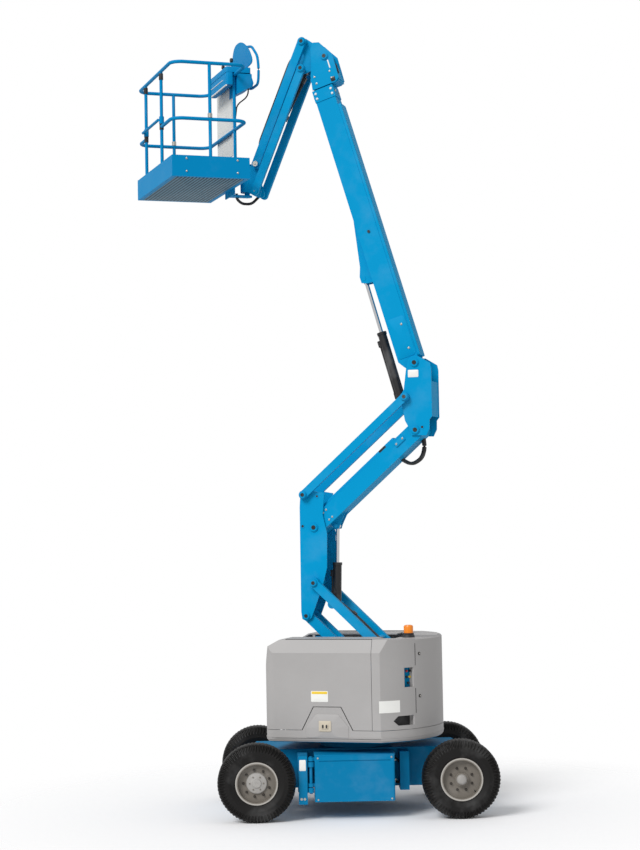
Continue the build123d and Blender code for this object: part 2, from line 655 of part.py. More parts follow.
def upper_riser():
    """The main riser: a box beam with round ends and ears for the riser cylinder."""
    bore = PIN_R + 6 + PIN_GAP
    face = link_face(RISER_FOOT, TOWER_LOW, RISER_D, RISER_D / 2, bore)
    body = prism(face, -RISER_HALF_W, RISER_HALF_W)
    eye = RISER_CYL_TOP
    root = step_from(RISER_FOOT, 180 - RISER_ANGLE, 250)
    root_out = step_from(RISER_FOOT, 180 - RISER_ANGLE, 120)
    lift = turned((0, -RISER_D / 2 + 4), -RISER_ANGLE)
    ear = outline([shifted(root_out, (lift[0], lift[1])), shifted(eye, (34, -10)), shifted(eye, (10, -36)),
                   shifted(eye, (-26, -28)), shifted(eye, (-38, 10)), shifted(root, (lift[0] - 60, lift[1] + 50))])
    body += twin(ear, EAR_IN - 8, EAR_T)
    return body + twin(disc(eye, 18), CYL_EYE_HALF + 3, 40)


def upper_links():
    """The pair of upper levelling links."""
    hole = PIN_R - 4 + PIN_GAP
    face = link_face(HIGH_LINK_FOOT, TOWER_LINK, HIGH_LINK_D, HIGH_LINK_D / 2 + 4, hole)
    return twin(face, HIGH_LINK_IN, HIGH_LINK_W)


def top_tower():
    """The tower that carries the boom: two plates, a rear wall and ears for the boom cylinder."""
    low, link, top, foot = TOWER_LOW, TOWER_LINK, BOOM_PIVOT, BOOM_FOOT
    plate = [(low[0] + 40, low[1] - 50), (low[0] + 62, low[1] + 20), (low[0] + 100, low[1] + 90),
             (link[0] + 42, link[1] - 40), (link[0] + 44, link[1] + 24), (link[0] + 16, link[1] + 70),
             (top[0] + 84, top[1] - 60), (top[0] + 62, top[1] + 30), (top[0] + 20, top[1] + 62),
             (top[0] - 40, top[1] + 58), (top[0] - 150, top[1] - 10), (low[0] - 165, top[1] - 60),
             (low[0] - 165, low[1] + 125), (low[0] - 140, low[1] + 95), (low[0] - 138, low[1] + 10),
             (low[0] - 105, low[1] - 56)]
    body = twin(outline(plate), PLATE_IN, PLATE_T)
    wall_x = low[0] - 160
    body += block(wall_x, wall_x + 12, -PLATE_IN, PLATE_IN, low[1] + 126, top[1] - 180)
    wall = low[0] + 84
    body += block(wall, wall + 12, -PLATE_IN, PLATE_IN, low[1] + 100, link[1] - 60)
    ear = outline([(wall, foot[1] - 90), (foot[0] + 20, foot[1] - 34), (foot[0] + 38, foot[1]),
                   (foot[0] + 10, foot[1] + 38), (foot[0] - 30, foot[1] + 34), (wall, foot[1] - 30)])
    body += twin(ear, CYL_R + PLAY, EAR_T)
    body += prism(disc(foot, CYL_PIN_R), -CYL_R - PLAY - EAR_T - 4, CYL_R + PLAY + EAR_T + 4)
    body += headed_pin(low, PIN_R + 6, PLATE_IN + PLATE_T)
    body += headed_pin(link, PIN_R - 4, HIGH_LINK_IN + HIGH_LINK_W + 4)
    body += headed_pin(top, PIN_R + 6, PLATE_IN + PLATE_T)
    return body


def boom_place():
    """Placement of what is modelled along the boom."""
    return along(BOOM_PIVOT, BOOM_ANGLE)


BOOM_TOP = BOOM_D / 2 - BOOM_DROP
BOOM_UNDER = -BOOM_D / 2 - BOOM_DROP


def boom_outer():
    """The outer boom: a square tube with its foot cheeks, mouth collar, pads and cylinder lug."""
    half = BOOM_HALF_W
    tube = block(-BOOM_TAIL, BOOM_MOUTH, -half, half, BOOM_UNDER, BOOM_TOP)
    hollow = block(BOOM_TAIL + 80, BOOM_MOUTH + 1, -half + BOOM_WALL, half - BOOM_WALL,
                   BOOM_UNDER + BOOM_WALL, BOOM_TOP - BOOM_WALL)
    foot_cut = outline([(-BOOM_TAIL - 1, BOOM_UNDER - 1), (60, BOOM_UNDER - 1), (0, BOOM_UNDER + 40),
                        (-BOOM_TAIL - 1, BOOM_UNDER + 100)])
    tube = tube - hollow - prism(foot_cut, -half - 1, half + 1)
    tube += twin(disc((0, 0), 62), half, PLATE_IN - half - 3)
    collar = block(BOOM_MOUTH - 120, BOOM_MOUTH, -half - 6, half + 6, BOOM_UNDER - 6, BOOM_TOP + 6)
    collar -= block(BOOM_MOUTH - 121, BOOM_MOUTH + 1, -half + 1, half - 1, BOOM_UNDER + 1, BOOM_TOP - 1)
    tube += collar
    axis_z = (BOOM_TOP + BOOM_UNDER) / 2
    pads = block(BOOM_MOUTH - 90, BOOM_MOUTH - 20, -half + 4, half - 4, BOOM_UNDER + 4, BOOM_TOP - 4)
    window = INNER_HALF_W + SEAT_GAP
    depth = INNER_D / 2 + SEAT_GAP
    pads -= block(BOOM_MOUTH - 100, BOOM_MOUTH, -window, window, axis_z - depth, axis_z + depth)
    tube += pads
    ear = outline([(LUG_PIN[0] + 640, BOOM_UNDER + 2), (LUG_PIN[0] + 120, LUG_PIN[1] - 4),
                   (LUG_PIN[0] + 30, LUG_PIN[1] - 36), (LUG_PIN[0] - 30, LUG_PIN[1] - 36),
                   (LUG_PIN[0] - 50, LUG_PIN[1] + 10), (LUG_PIN[0] - 60, BOOM_UNDER + 2)])
    tube += twin(ear, EAR_IN, EAR_T)
    tube += twin(disc(LUG_PIN, 18), CYL_EYE_HALF + 3, EAR_IN + EAR_T - CYL_EYE_HALF)
    bored = prism(disc((0, 0), PIN_R + 6 + PIN_GAP), -PLATE_IN, PLATE_IN)
    return boom_place() * (tube - bored)


def boom_inner():
    """The sliding inner boom and the head plates on its tip."""
    axis_z = (BOOM_TOP + BOOM_UNDER) / 2
    tube = block(INNER_TAIL, BOOM_MOUTH + 130, -INNER_HALF_W, INNER_HALF_W,
                 axis_z - INNER_D / 2, axis_z + INNER_D / 2)
    head = [(BOOM_MOUTH + 12, -158), (BOOM_MOUTH + 150, -136), (BOOM_MOUTH + 250, -96),
            (NOSE_PIN[0] + 120, NOSE_PIN[1] - 110), (NOSE_PIN[0] + 170, NOSE_PIN[1] - 70),
            (NOSE_PIN[0] + 150, NOSE_PIN[1] - 10), (NOSE_PIN[0] + 80, NOSE_PIN[1] + 30),
            (NOSE_PIN[0], NOSE_PIN[1] + 78), (BOOM_MOUTH + 170, 132), (BOOM_MOUTH + 40, 128),
            (BOOM_MOUTH + 12, 90)]
    body = tube + twin(outline(head), HEAD_IN, HEAD_T)
    for x0, x1, z0, z1 in ((BOOM_MOUTH + 12, BOOM_MOUTH + 130, -150, -128),
                           (BOOM_MOUTH + 30, BOOM_MOUTH + 170, 110, 124),
                           (BOOM_MOUTH + 14, BOOM_MOUTH + 28, -150, 120)):
        body += block(x0, x1, -HEAD_IN - 1, HEAD_IN + 1, z0, z1)
    body += headed_pin(NOSE_PIN, NOSE_PIN_R, HEAD_IN + HEAD_T)
    return boom_place() * body


def nose_bracket():
    """The levelled bracket in the head: it carries the pins of the jib."""
    hub, top, link = NOSE_PIVOT, JIB_TOP, JIB_TOP_LINK
    plate = outline([(hub[0] - 40, hub[1] + 30), (hub[0] - 10, hub[1] + 52), (top[0] - 30, top[1] + 36),
                     (top[0] + 26, top[1] + 30), (top[0] + 36, top[1] - 20), (top[0] - 10, (top[1] + link[1]) / 2),
                     (link[0] + 34, link[1] + 10), (link[0] + 20, link[1] - 36), (link[0] - 30, link[1] - 30),
                     (hub[0] - 20, hub[1] - 48), (hub[0] - 46, hub[1] - 16)])
    body = twin(plate, BRACKET_IN, BRACKET_T)
    body += prism(disc(hub, 46), -HEAD_IN + 4, HEAD_IN - 4)
    body -= prism(disc(hub, NOSE_PIN_R + PIN_GAP), -HEAD_IN, HEAD_IN)
    body += headed_pin(top, JIB_PIN_R, JIB_ARM_IN + JIB_ARM_W + 4)
    body += headed_pin(link, JIB_PIN_R, JIB_LINK_IN + JIB_LINK_W + 3)
    return body


def jib_arms():
    """The pair of jib arms with their joining plate on the outer side."""
    face = link_face((0, 0), (JIB_LEN, 0), JIB_D, JIB_D / 2 + 2, JIB_PIN_R + PIN_GAP)
    body = twin(face, JIB_ARM_IN, JIB_ARM_W)
    body += block(170, JIB_LEN - 160, -JIB_ARM_IN - 5, JIB_ARM_IN + 5, JIB_D / 2 - 8, JIB_D / 2)
    return along(JIB_TOP, JIB_ANGLE) * body


def jib_links():
    """The pair of levelling links below the jib arms, tied by a cross tube."""
    face = link_face((0, 0), (JIB_LEN, 0), JIB_D - 6, JIB_D / 2 - 2, JIB_PIN_R + PIN_GAP)
    body = twin(face, JIB_LINK_IN, JIB_LINK_W)
    return along(JIB_TOP_LINK, JIB_ANGLE) * body


def platform_carrier():
    """The level bracket at the jib's end with the upright rotator."""
    top, link = JIB_END, JIB_END_LINK
    hub_x = ROTATOR_X
    plate = outline([(top[0] - 34, top[1] + 24), (top[0] + 6, top[1] + 36), (hub_x - 62, top[1] - 6),
                     (hub_x - 10, top[1] - 20), (hub_x - 10, link[1] + 20), (link[0] + 30, link[1] - 34),
                     (link[0] - 24, link[1] - 32), (link[0] - 36, link[1] + 14), (top[0] + 8, (top[1] + link[1]) / 2),
                     (top[0] - 30, top[1] - 24)])
    body = twin(plate, BRACKET_IN, BRACKET_T)
    body += Pos(hub_x, 0, (top[1] + link[1]) / 2) * Cylinder(ROTATOR_R, top[1] - link[1] - 30)
    body += Pos(hub_x, 0, (top[1] + link[1]) / 2) * Cylinder(26, top[1] - link[1] + 68)
    for pin_at, y_in, y_out in ((top, BRACKET_IN - 6, JIB_ARM_IN + JIB_ARM_W + 4),
                                (link, BRACKET_IN - 6, JIB_LINK_IN + JIB_LINK_W + 3)):
        body += twin(disc(pin_at, JIB_PIN_R), y_in, y_out - y_in)
        body += twin(disc(pin_at, JIB_PIN_R + 12), y_out, 8)
    return body


def tube_path(points, radius, tube_r):
    """A bent tube along points, with one bend radius."""
    path = FilletPolyline(*points, radius=radius)
    start = Plane(origin=path @ 0, z_dir=path % 0)
    return sweep(start * Circle(tube_r), path=path)


def bar(p, q, radius):
    """A round bar between two points."""
    line = Line(p, q)
    return sweep(Plane(origin=p, z_dir=line % 0) * Circle(radius), path=line)


def rail_loop(z, corner):
    """A closed rail round the platform."""
    half = PLATFORM_W / 2 - RAIL_R
    x0, x1 = FLOOR_X0 + RAIL_R, FLOOR_X0 + PLATFORM_L - RAIL_R
    plan = Pos((x0 + x1) / 2, 0) * RectangleRounded(x1 - x0, 2 * half, corner)
    path = (Pos(0, 0, z) * plan).wires()[0]
    return sweep(Plane(origin=path @ 0, z_dir=path % 0) * Circle(RAIL_R), path=path)


def platform_floor():
    """The floor frame with its toe boards and the mounting bracket round the rotator."""
    x0, x1 = FLOOR_X0, FLOOR_X0 + PLATFORM_L
    half = PLATFORM_W / 2
    z = FLOOR_Z
    body = block(x0, x1, -half, half, z, z + FLOOR_T)
    toe = block(x0, x1, -half, half, z, z + TOE_H) - block(x0 + 6, x1 - 6, -half + 6, half - 6, z - 1, z + TOE_H + 1)
    body += toe
    top, link = JIB_END[1], JIB_END_LINK[1]
    for z0 in (top + 4, link - 32):
        lug = Pos(0, 0, z0) * extrude(Circle(48) + Pos(FLOOR_X0 / 2, 0) * Rectangle(FLOOR_X0 + 2, 96), amount=16)
        body += lug - Pos(0, 0, z0) * Cylinder(26 + PIN_GAP, 60)
    wall = block(x0 - 10, x0 + 2, -160, 160, link - 32, top + 20)
    return body + wall


def platform_rails():
    """The guard rail: a top loop, a mid rail on the closed sides and the posts."""
    x0, x1 = FLOOR_X0 + RAIL_R, FLOOR_X0 + PLATFORM_L - RAIL_R
    half = PLATFORM_W / 2 - RAIL_R
    top = FLOOR_Z + RAIL_TOP - RAIL_R
    mid = FLOOR_Z + RAIL_MID
    body = rail_loop(top, RAIL_CORNER)
    path = [(x1, ENTRY_Y0, mid), (x1, -half, mid), (x0, -half, mid), (x0, half, mid), (x1, half, mid),
            (x1, ENTRY_Y1, mid)]
    body += tube_path(path, RAIL_CORNER, RAIL_R)
    foot = FLOOR_Z + TOE_H - 4
    posts = [(x1, ENTRY_Y0), (x1, ENTRY_Y1), ((x0 + x1) / 2, -half), ((x0 + x1) / 2, half), (x0, INNER_POST_Y)]
    for x, y in posts:
        body += bar((x, y, foot + SEAT_GAP + 4), (x, y, top), RAIL_R_POST)
    return body


def platform_gate():
    """The sliding bar across the entry, with a sleeve round each post."""
    x = FLOOR_X0 + PLATFORM_L - RAIL_R
    z = FLOOR_Z + RAIL_MID + 62
    body = bar((x + 34, ENTRY_Y0, z), (x + 34, ENTRY_Y1, z), RAIL_R - 3)
    for y in (ENTRY_Y0, ENTRY_Y1):
        body += Pos(x, y, z) * Cylinder(RAIL_R_POST + 8, 70)
        body -= Pos(x, y, z) * Cylinder(RAIL_R_POST + PIN_GAP, 90)
    return body


def control_box():
    """The control box at the boom side of the platform, with its sloped face and hood."""
    z = FLOOR_Z + RAIL_TOP
    x = FLOOR_X0
    profile = outline([(x - 150, z - 8), (x - SEAT_GAP, z - 8), (x - SEAT_GAP, z - 210), (x - 150, z - 130)])
    return prism(profile, BOX_IN_Y, BOX_OUT_Y)


def upper(shape):
    """Turn the turntable's frame into the machine's."""
    return Rot(0, 0, UPPER_TURN) * shape


def on_platform(shape):
    """Turn the platform's frame into the machine's."""
    hub = Rot(0, 0, UPPER_TURN) * Pos(ROTATOR_X, 0, 0)
    at = hub.position
    return Pos(at.X, at.Y, 0) * Rot(0, 0, PLATFORM_TURN) * shape



engine, tank = power_blocks()
nodes = {
    "engine_block": upper(engine),
    "tank_block": upper(tank),
    "chassis_frame": chassis_frame(),
    "slew_ring": slew_ring(),
    "drive_axle": drive_axle(),
    "steer_axle": steer_axle(),
    "steer_rod": steer_rod(),
    "knuckle_near": knuckle(-1),
    "knuckle_far": knuckle(1),
    "battery_box_near": battery_box(-1),
    "battery_box_far": battery_box(1),
    "turntable_frame": upper(turntable_frame()),
    "counterweight": upper(counterweight()),
    "corner_panels": upper(corner_panels()),
    "skirt": upper(skirt()),
    "cover_near": upper(cover(1)),
    "cover_far": upper(cover(-1)),
    "beacon": upper(beacon()),
    "lower_arms": upper(lower_arms()),
    "lowest_links": upper(lowest_links()),
    "mid_tower": upper(mid_tower()),
    "upper_riser": upper(upper_riser()),
    "upper_links": upper(upper_links()),
    "top_tower": upper(top_tower()),
    "riser_barrel": upper(cylinder_barrel(RISER_CYL_LOW, RISER_CYL_TOP, RISER_CYL_CLOSED, CYL_R, CYL_ROD_R,
                                          PIN_R + PIN_GAP)),
    "riser_rod": upper(cylinder_rod(RISER_CYL_LOW, RISER_CYL_TOP, RISER_ROD_TAIL, CYL_ROD_R, ROD_EYE_R)),
    "boom_outer": upper(boom_outer()),
    "boom_inner": upper(boom_inner()),
    "nose_bracket": upper(nose_bracket()),
    "boom_barrel": upper(cylinder_barrel(BOOM_FOOT, BOOM_EYE, BOOM_CYL_CLOSED, CYL_R, CYL_ROD_R,
                                         CYL_PIN_R + PIN_GAP)),
    "boom_rod": upper(cylinder_rod(BOOM_FOOT, BOOM_EYE, BOOM_ROD_TAIL, CYL_ROD_R, ROD_EYE_R)),
    "jib_arms": upper(jib_arms()),
    "jib_links": upper(jib_links()),
    "jib_barrel": upper(cylinder_barrel(JIB_TOP_LINK, JIB_END, JIB_CYL_CLOSED, JIB_CYL_R, JIB_ROD_R,
                                        JIB_PIN_R + PIN_GAP)),
    "jib_rod": upper(cylinder_rod(JIB_TOP_LINK, JIB_END, JIB_ROD_TAIL, JIB_ROD_R, JIB_ROD_EYE_R)),
    "platform_carrier": upper(platform_carrier()),
    "platform_floor": on_platform(platform_floor()),
    "platform_rails": on_platform(platform_rails()),
    "platform_gate": on_platform(platform_gate()),
    "control_box": on_platform(control_box()),
}
nodes.update(wheels())

os.makedirs("parts", exist_ok=True)
for name, shape in nodes.items():
    export_step(shape, f"parts/{name}.step")
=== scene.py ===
"""Looks of an articulated boom lift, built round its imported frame. Metres, +Z up.

The row frame has its origin on the ground below the slewing axis, +X towards the steered axle and -Y
towards the side seen first. The turntable has a frame of its own, turned about Z, whose +X runs outward
below the boom and whose +Y is the near side.
"""

import json
import logging
import math
from dataclasses import dataclass, field
from enum import Enum

import bmesh
import bpy
import numpy as np
from mathutils import Matrix, Vector

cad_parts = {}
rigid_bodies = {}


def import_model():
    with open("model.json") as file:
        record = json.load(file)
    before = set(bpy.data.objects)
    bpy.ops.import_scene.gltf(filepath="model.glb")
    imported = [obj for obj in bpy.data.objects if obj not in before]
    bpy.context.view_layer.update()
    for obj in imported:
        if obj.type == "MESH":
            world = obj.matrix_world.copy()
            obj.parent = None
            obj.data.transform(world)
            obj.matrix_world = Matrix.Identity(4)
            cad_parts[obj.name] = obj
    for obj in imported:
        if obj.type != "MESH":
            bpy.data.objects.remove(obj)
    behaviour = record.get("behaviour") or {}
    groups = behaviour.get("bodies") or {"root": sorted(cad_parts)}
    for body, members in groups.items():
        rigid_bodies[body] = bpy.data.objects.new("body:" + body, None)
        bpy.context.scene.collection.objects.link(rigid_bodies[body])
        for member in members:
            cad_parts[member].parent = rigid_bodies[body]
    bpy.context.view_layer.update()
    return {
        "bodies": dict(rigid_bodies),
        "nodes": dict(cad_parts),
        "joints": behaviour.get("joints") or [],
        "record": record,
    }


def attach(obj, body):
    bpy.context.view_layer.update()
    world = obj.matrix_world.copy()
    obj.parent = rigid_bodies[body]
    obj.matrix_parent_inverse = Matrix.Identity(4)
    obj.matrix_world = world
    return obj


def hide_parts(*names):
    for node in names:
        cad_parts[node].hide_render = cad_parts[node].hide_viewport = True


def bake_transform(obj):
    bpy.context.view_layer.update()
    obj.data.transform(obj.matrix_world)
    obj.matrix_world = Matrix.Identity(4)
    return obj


LOG = logging.getLogger("boom_lift")

Rgb = tuple[float, float, float]
Point = tuple[float, float, float]
Flat = tuple[float, float]
Profile = list[Flat]
Surface = tuple[np.ndarray, np.ndarray]

# Driving sizes, the same as the frame's
UPPER_TURN = math.radians(162)
WHEELBASE = 1.88
TRACK = 1.5
TYRE_RADIUS = 0.36
SIDE_Y = 0.72
TAIL_RADIUS = 0.85
FRONT_X = 0.68
FRONT_CORNER = 0.11
COVER_TOP = 1.645
SKIRT_LOW = 0.735
RAIL_TOP = 7.120
LOWER_BASE = (-0.670, 1.213)
LOWER_ANGLE = math.radians(43.5)
LINK_LENGTH = 1.37
RISER_ANGLE = math.radians(41.6)
BOOM_ANGLE = math.radians(73.3)
JIB_ANGLE = math.radians(-67.2)
JIB_LENGTH = 1.273
PLATFORM_TURN = math.radians(197.3)

# Where the rims' faces lie from the wheels' middles, and how close points are to be welded
RIM_FACE = -0.045
WELD = 1e-6

# The holes of the platform's floor: their pitch, and their radius as a part of it
HOLE_PITCH = 0.036
HOLE_RADIUS = 0.3


class Grain(Enum):
    """How coarse a finish's fine relief is, as the scale of its noise per metre."""

    FINE = 900.0
    ORANGE_PEEL = 240.0
    CAST = 130.0
    RUBBER = 420.0


def srgb(red: int, green: int, blue: int) -> Rgb:
    """Turn a colour written as 0 to 255 values into linear light.

    Args:
        red: red part.
        green: green part.
        blue: blue part.

    Returns:
        The three linear parts.
    """
    parts = np.array([red, green, blue]) / 255.0
    linear = np.where(parts <= 0.04045, parts / 12.92, ((parts + 0.055) / 1.055) ** 2.4)
    return tuple(float(value) for value in linear)


def spot(place: Flat, offset: Flat) -> Flat:
    """Move a point of the side view by an offset."""
    return (place[0] + offset[0], place[1] + offset[1])


def reach(place: Flat, angle: float, length: float) -> Flat:
    """The point a length away from another, at an angle above the turntable's +X."""
    return (place[0] + length * math.cos(angle), place[1] + length * math.sin(angle))


@dataclass(frozen=True)
class Pins:
    """The pins of the risers, boom and jib in the turntable's side view, from the foot upwards."""

    low_link_set: Flat = (0.095, -0.317)
    mid_rise: Flat = (0.005, 0.531)
    high_link_set: Flat = (0.090, 0.315)
    boom_rise: Flat = (-0.004, 0.641)
    nose_set: Flat = (3.150, 0.055)
    jib_top_set: Flat = (0.227, 0.164)
    jib_link_set: Flat = (0.0, -0.275)
    rotator_reach: float = 0.130

    @property
    def lower_top(self) -> Flat:
        """The lower arms' pin in the mid tower."""
        return reach(LOWER_BASE, LOWER_ANGLE, LINK_LENGTH)

    @property
    def riser_foot(self) -> Flat:
        """The upper riser's pin in the mid tower."""
        return spot(self.lower_top, self.mid_rise)

    @property
    def tower_low(self) -> Flat:
        """The upper riser's pin in the top tower."""
        return reach(self.riser_foot, math.pi - RISER_ANGLE, LINK_LENGTH)

    @property
    def boom_pivot(self) -> Flat:
        """The boom's pivot."""
        return spot(self.tower_low, self.boom_rise)

    @property
    def nose(self) -> Flat:
        """The pin in the boom's head."""
        x, z = self.nose_set
        return reach(self.boom_pivot, BOOM_ANGLE + math.atan2(z, x), math.hypot(x, z))

    @property
    def jib_top(self) -> Flat:
        """The jib arms' upper pin."""
        return spot(self.nose, self.jib_top_set)

    @property
    def jib_end(self) -> Flat:
        """The jib arms' lower pin."""
        return reach(self.jib_top, JIB_ANGLE, JIB_LENGTH)


PINS = Pins()


@dataclass(frozen=True)
class Place:
    """A local frame given as a 4x4 matrix into the row frame."""

    matrix: tuple[tuple[float, ...], ...]

    @staticmethod
    def of(matrix: Matrix) -> "Place":
        """Keep a matrix as a place."""
        return Place(tuple(tuple(row) for row in matrix))

    def points(self, local: np.ndarray) -> np.ndarray:
        """Carry points into the row frame: p' = R p + t.

        Args:
            local: an array of points, one a row.

        Returns:
            The same points in the row frame.
        """
        whole = np.array(self.matrix)
        return local @ whole[:3, :3].T + whole[:3, 3]

    def point(self, local: Point) -> Vector:
        """One point carried into the row frame."""
        return Vector(self.points(np.array([local]))[0])

    def then(self, matrix: Matrix) -> "Place":
        """A frame set inside this one."""
        return Place.of(Matrix(self.matrix) @ matrix)


def turn(axis: str, angle: float) -> Matrix:
    """A turn about one axis."""
    return Matrix.Rotation(angle, 4, axis)


def shift(x: float, y: float, z: float) -> Matrix:
    """A move without a turn."""
    return Matrix.Translation((x, y, z))


GROUND = Place.of(Matrix.Identity(4))
UPPER = Place.of(turn("Z", UPPER_TURN))


def along(pin: Flat, angle: float) -> Place:
    """The frame of a piece that starts at a pin and runs at an angle in the side view.

    Args:
        pin: the start in the turntable's side view.
        angle: the angle above the turntable's +X.

    Returns:
        The frame with +X along the piece and +Z on its upper side.
    """
    return UPPER.then(shift(pin[0], 0, pin[1]) @ turn("Y", -angle))


LOWER = along(LOWER_BASE, LOWER_ANGLE)
RISER = along(PINS.riser_foot, math.pi - RISER_ANGLE)
BOOM = along(PINS.boom_pivot, BOOM_ANGLE)
JIB = along(PINS.jib_top, JIB_ANGLE)
ROTATOR = UPPER.point((PINS.jib_end[0] + PINS.rotator_reach, 0, 0))
PLATFORM = Place.of(shift(ROTATOR.x, ROTATOR.y, 0) @ turn("Z", PLATFORM_TURN))


# Meshes worked out on grids

def grid_faces(rows: int, cols: int, closed: bool) -> np.ndarray:
    """Number the quads of a grid of points.

    Args:
        rows: points along the first parameter.
        cols: points along the second parameter.
        closed: whether the second parameter comes round to its start.

    Returns:
        An array of quads, four point numbers a row.
    """
    span = cols if closed else cols - 1
    row, col = np.meshgrid(np.arange(rows - 1), np.arange(span), indexing="ij")
    after = (col + 1) % cols
    low, high = row * cols, (row + 1) * cols
    return np.stack([low + col, low + after, high + after, high + col], -1).reshape(-1, 4)


def lathe(profile: np.ndarray, segments: int) -> Surface:
    """Turn a profile about +Y: p(t, a) = (r(t) cos a, y(t), r(t) sin a).

    Args:
        profile: rows of radius and y.
        segments: points round the turn.

    Returns:
        The points and the quads.
    """
    angle = np.linspace(0, 2 * np.pi, segments, endpoint=False)
    radius, y = profile[:, 0:1], profile[:, 1:2]
    points = np.stack([radius * np.cos(angle), y + 0 * angle, radius * np.sin(angle)], -1)
    return points.reshape(-1, 3), grid_faces(len(profile), segments, True)


def tube(path: np.ndarray, radius: float, segments: int = 10) -> Surface:
    """Carry a circle along a path: p(s, a) = c(s) + r (n(s) cos a + b(s) sin a), closed by end discs.

    Args:
        path: points of the middle line, one a row.
        radius: the tube's radius.
        segments: points round the circle.

    Returns:
        The points and the quads.
    """
    step = np.gradient(path, axis=0)
    tangent = step / np.linalg.norm(step, axis=1, keepdims=True)
    lead = np.array([0.0, 0.0, 1.0]) if abs(tangent[0, 2]) < 0.9 else np.array([1.0, 0.0, 0.0])
    across = np.cross(tangent, lead)
    across /= np.linalg.norm(across, axis=1, keepdims=True)
    other = np.cross(tangent, across)
    angle = np.linspace(0, 2 * np.pi, segments, endpoint=False)
    ring = np.cos(angle)[None, :, None] * across[:, None, :]
    ring = ring + np.sin(angle)[None, :, None] * other[:, None, :]
    body = path[:, None, :] + radius * ring
    first = np.repeat(path[:1, None, :], segments, axis=1)
    last = np.repeat(path[-1:, None, :], segments, axis=1)
    points = np.concatenate([first, body, last], axis=0)
    return points.reshape(-1, 3), grid_faces(len(path) + 2, segments, True)


def rounded_slab(size: Point, corner: float, edge: float, segments: int = 6) -> Surface:
    """A plate with round corners and eased edges, flat on z = 0 and standing up to its thickness.

    The outline is c(a) = corner centre + corner radius (cos a, sin a) round the four corners; the rings go
    in by the edge radius as they rise.

    Args:
        size: length, width and thickness.
        corner: radius of the corners.
        edge: radius of the upper edge.
        segments: points in each corner.

    Returns:
        The points and the quads.
    """
    length, width, thick = size
    sweep = np.linspace(0, np.pi / 2, segments)
    angle = (np.arange(4)[:, None] * np.pi / 2 + sweep[None, :]).ravel()
    sign_x = np.repeat([1, -1, -1, 1], segments)
    sign_y = np.repeat([1, 1, -1, -1], segments)
    cx = sign_x * (length / 2 - corner)
    cy = sign_y * (width / 2 - corner)
    rise = np.array([0.0, 0.0, thick - edge, thick - edge * 0.3, thick, thick])
    draw = np.array([1.0, 0.0, 0.0, edge * 0.3, edge, 1.0])
    rings = []
    for z, inset in zip(rise, draw):
        middle = inset == 1.0
        radius = 0 if middle else corner - inset
        x = 0 * cx if middle else cx + radius * np.cos(angle)
        y = 0 * cy if middle else cy + radius * np.sin(angle)
        rings.append(np.stack([x, y, z + 0 * x], -1))
    points = np.concatenate(rings)
    return points, grid_faces(len(rings), len(angle), True)


@dataclass
class Mesh:
    """Points and faces gathered from several surfaces, to become one object."""

    points: list[np.ndarray] = field(default_factory=list)
    faces: list[np.ndarray] = field(default_factory=list)
    count: int = 0

    def add(self, surface: Surface, place: Place = GROUND) -> "Mesh":
        """Add a surface at a place.

        Args:
            surface: its points and quads.
            place: the frame that it stands in.

        Returns:
            This mesh.
        """
        points, quads = surface
        self.points.append(place.points(points))
        self.faces.append(quads + self.count)
        self.count += len(points)
        return self

    def build(self, name: str, finish: bpy.types.Material, body: str | None,
              smooth: float = 35.0) -> bpy.types.Object:
        """Make the object, weld its seams and poles, dress it and let it ride on its body.

        Args:
            name: the piece's name.
            finish: its material.
            body: the CAD body it moves with, or None to leave it unattached.
            smooth: angle in degrees below which an edge is smooth.

        Returns:
            The object.
        """
        data = bpy.data.meshes.new(name)
        data.from_pydata(np.concatenate(self.points), [], np.concatenate(self.faces).tolist())
        shape = bmesh.new()
        shape.from_mesh(data)
        bmesh.ops.remove_doubles(shape, verts=shape.verts, dist=WELD)
        bmesh.ops.recalc_face_normals(shape, faces=shape.faces)
        for face in shape.faces:
            face.smooth = True
        for edge in shape.edges:
            edge.smooth = len(edge.link_faces) == 2 and edge.calc_face_angle() < math.radians(smooth)
        shape.to_mesh(data)
        shape.free()
        data.materials.append(finish)
        piece = bpy.data.objects.new(name, data)
        bpy.context.scene.collection.objects.link(piece)
        if body:
            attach(piece, body)
        LOG.info("%s: %d faces on %s", name, len(data.polygons), body)
        return piece


# Shader groups and finishes

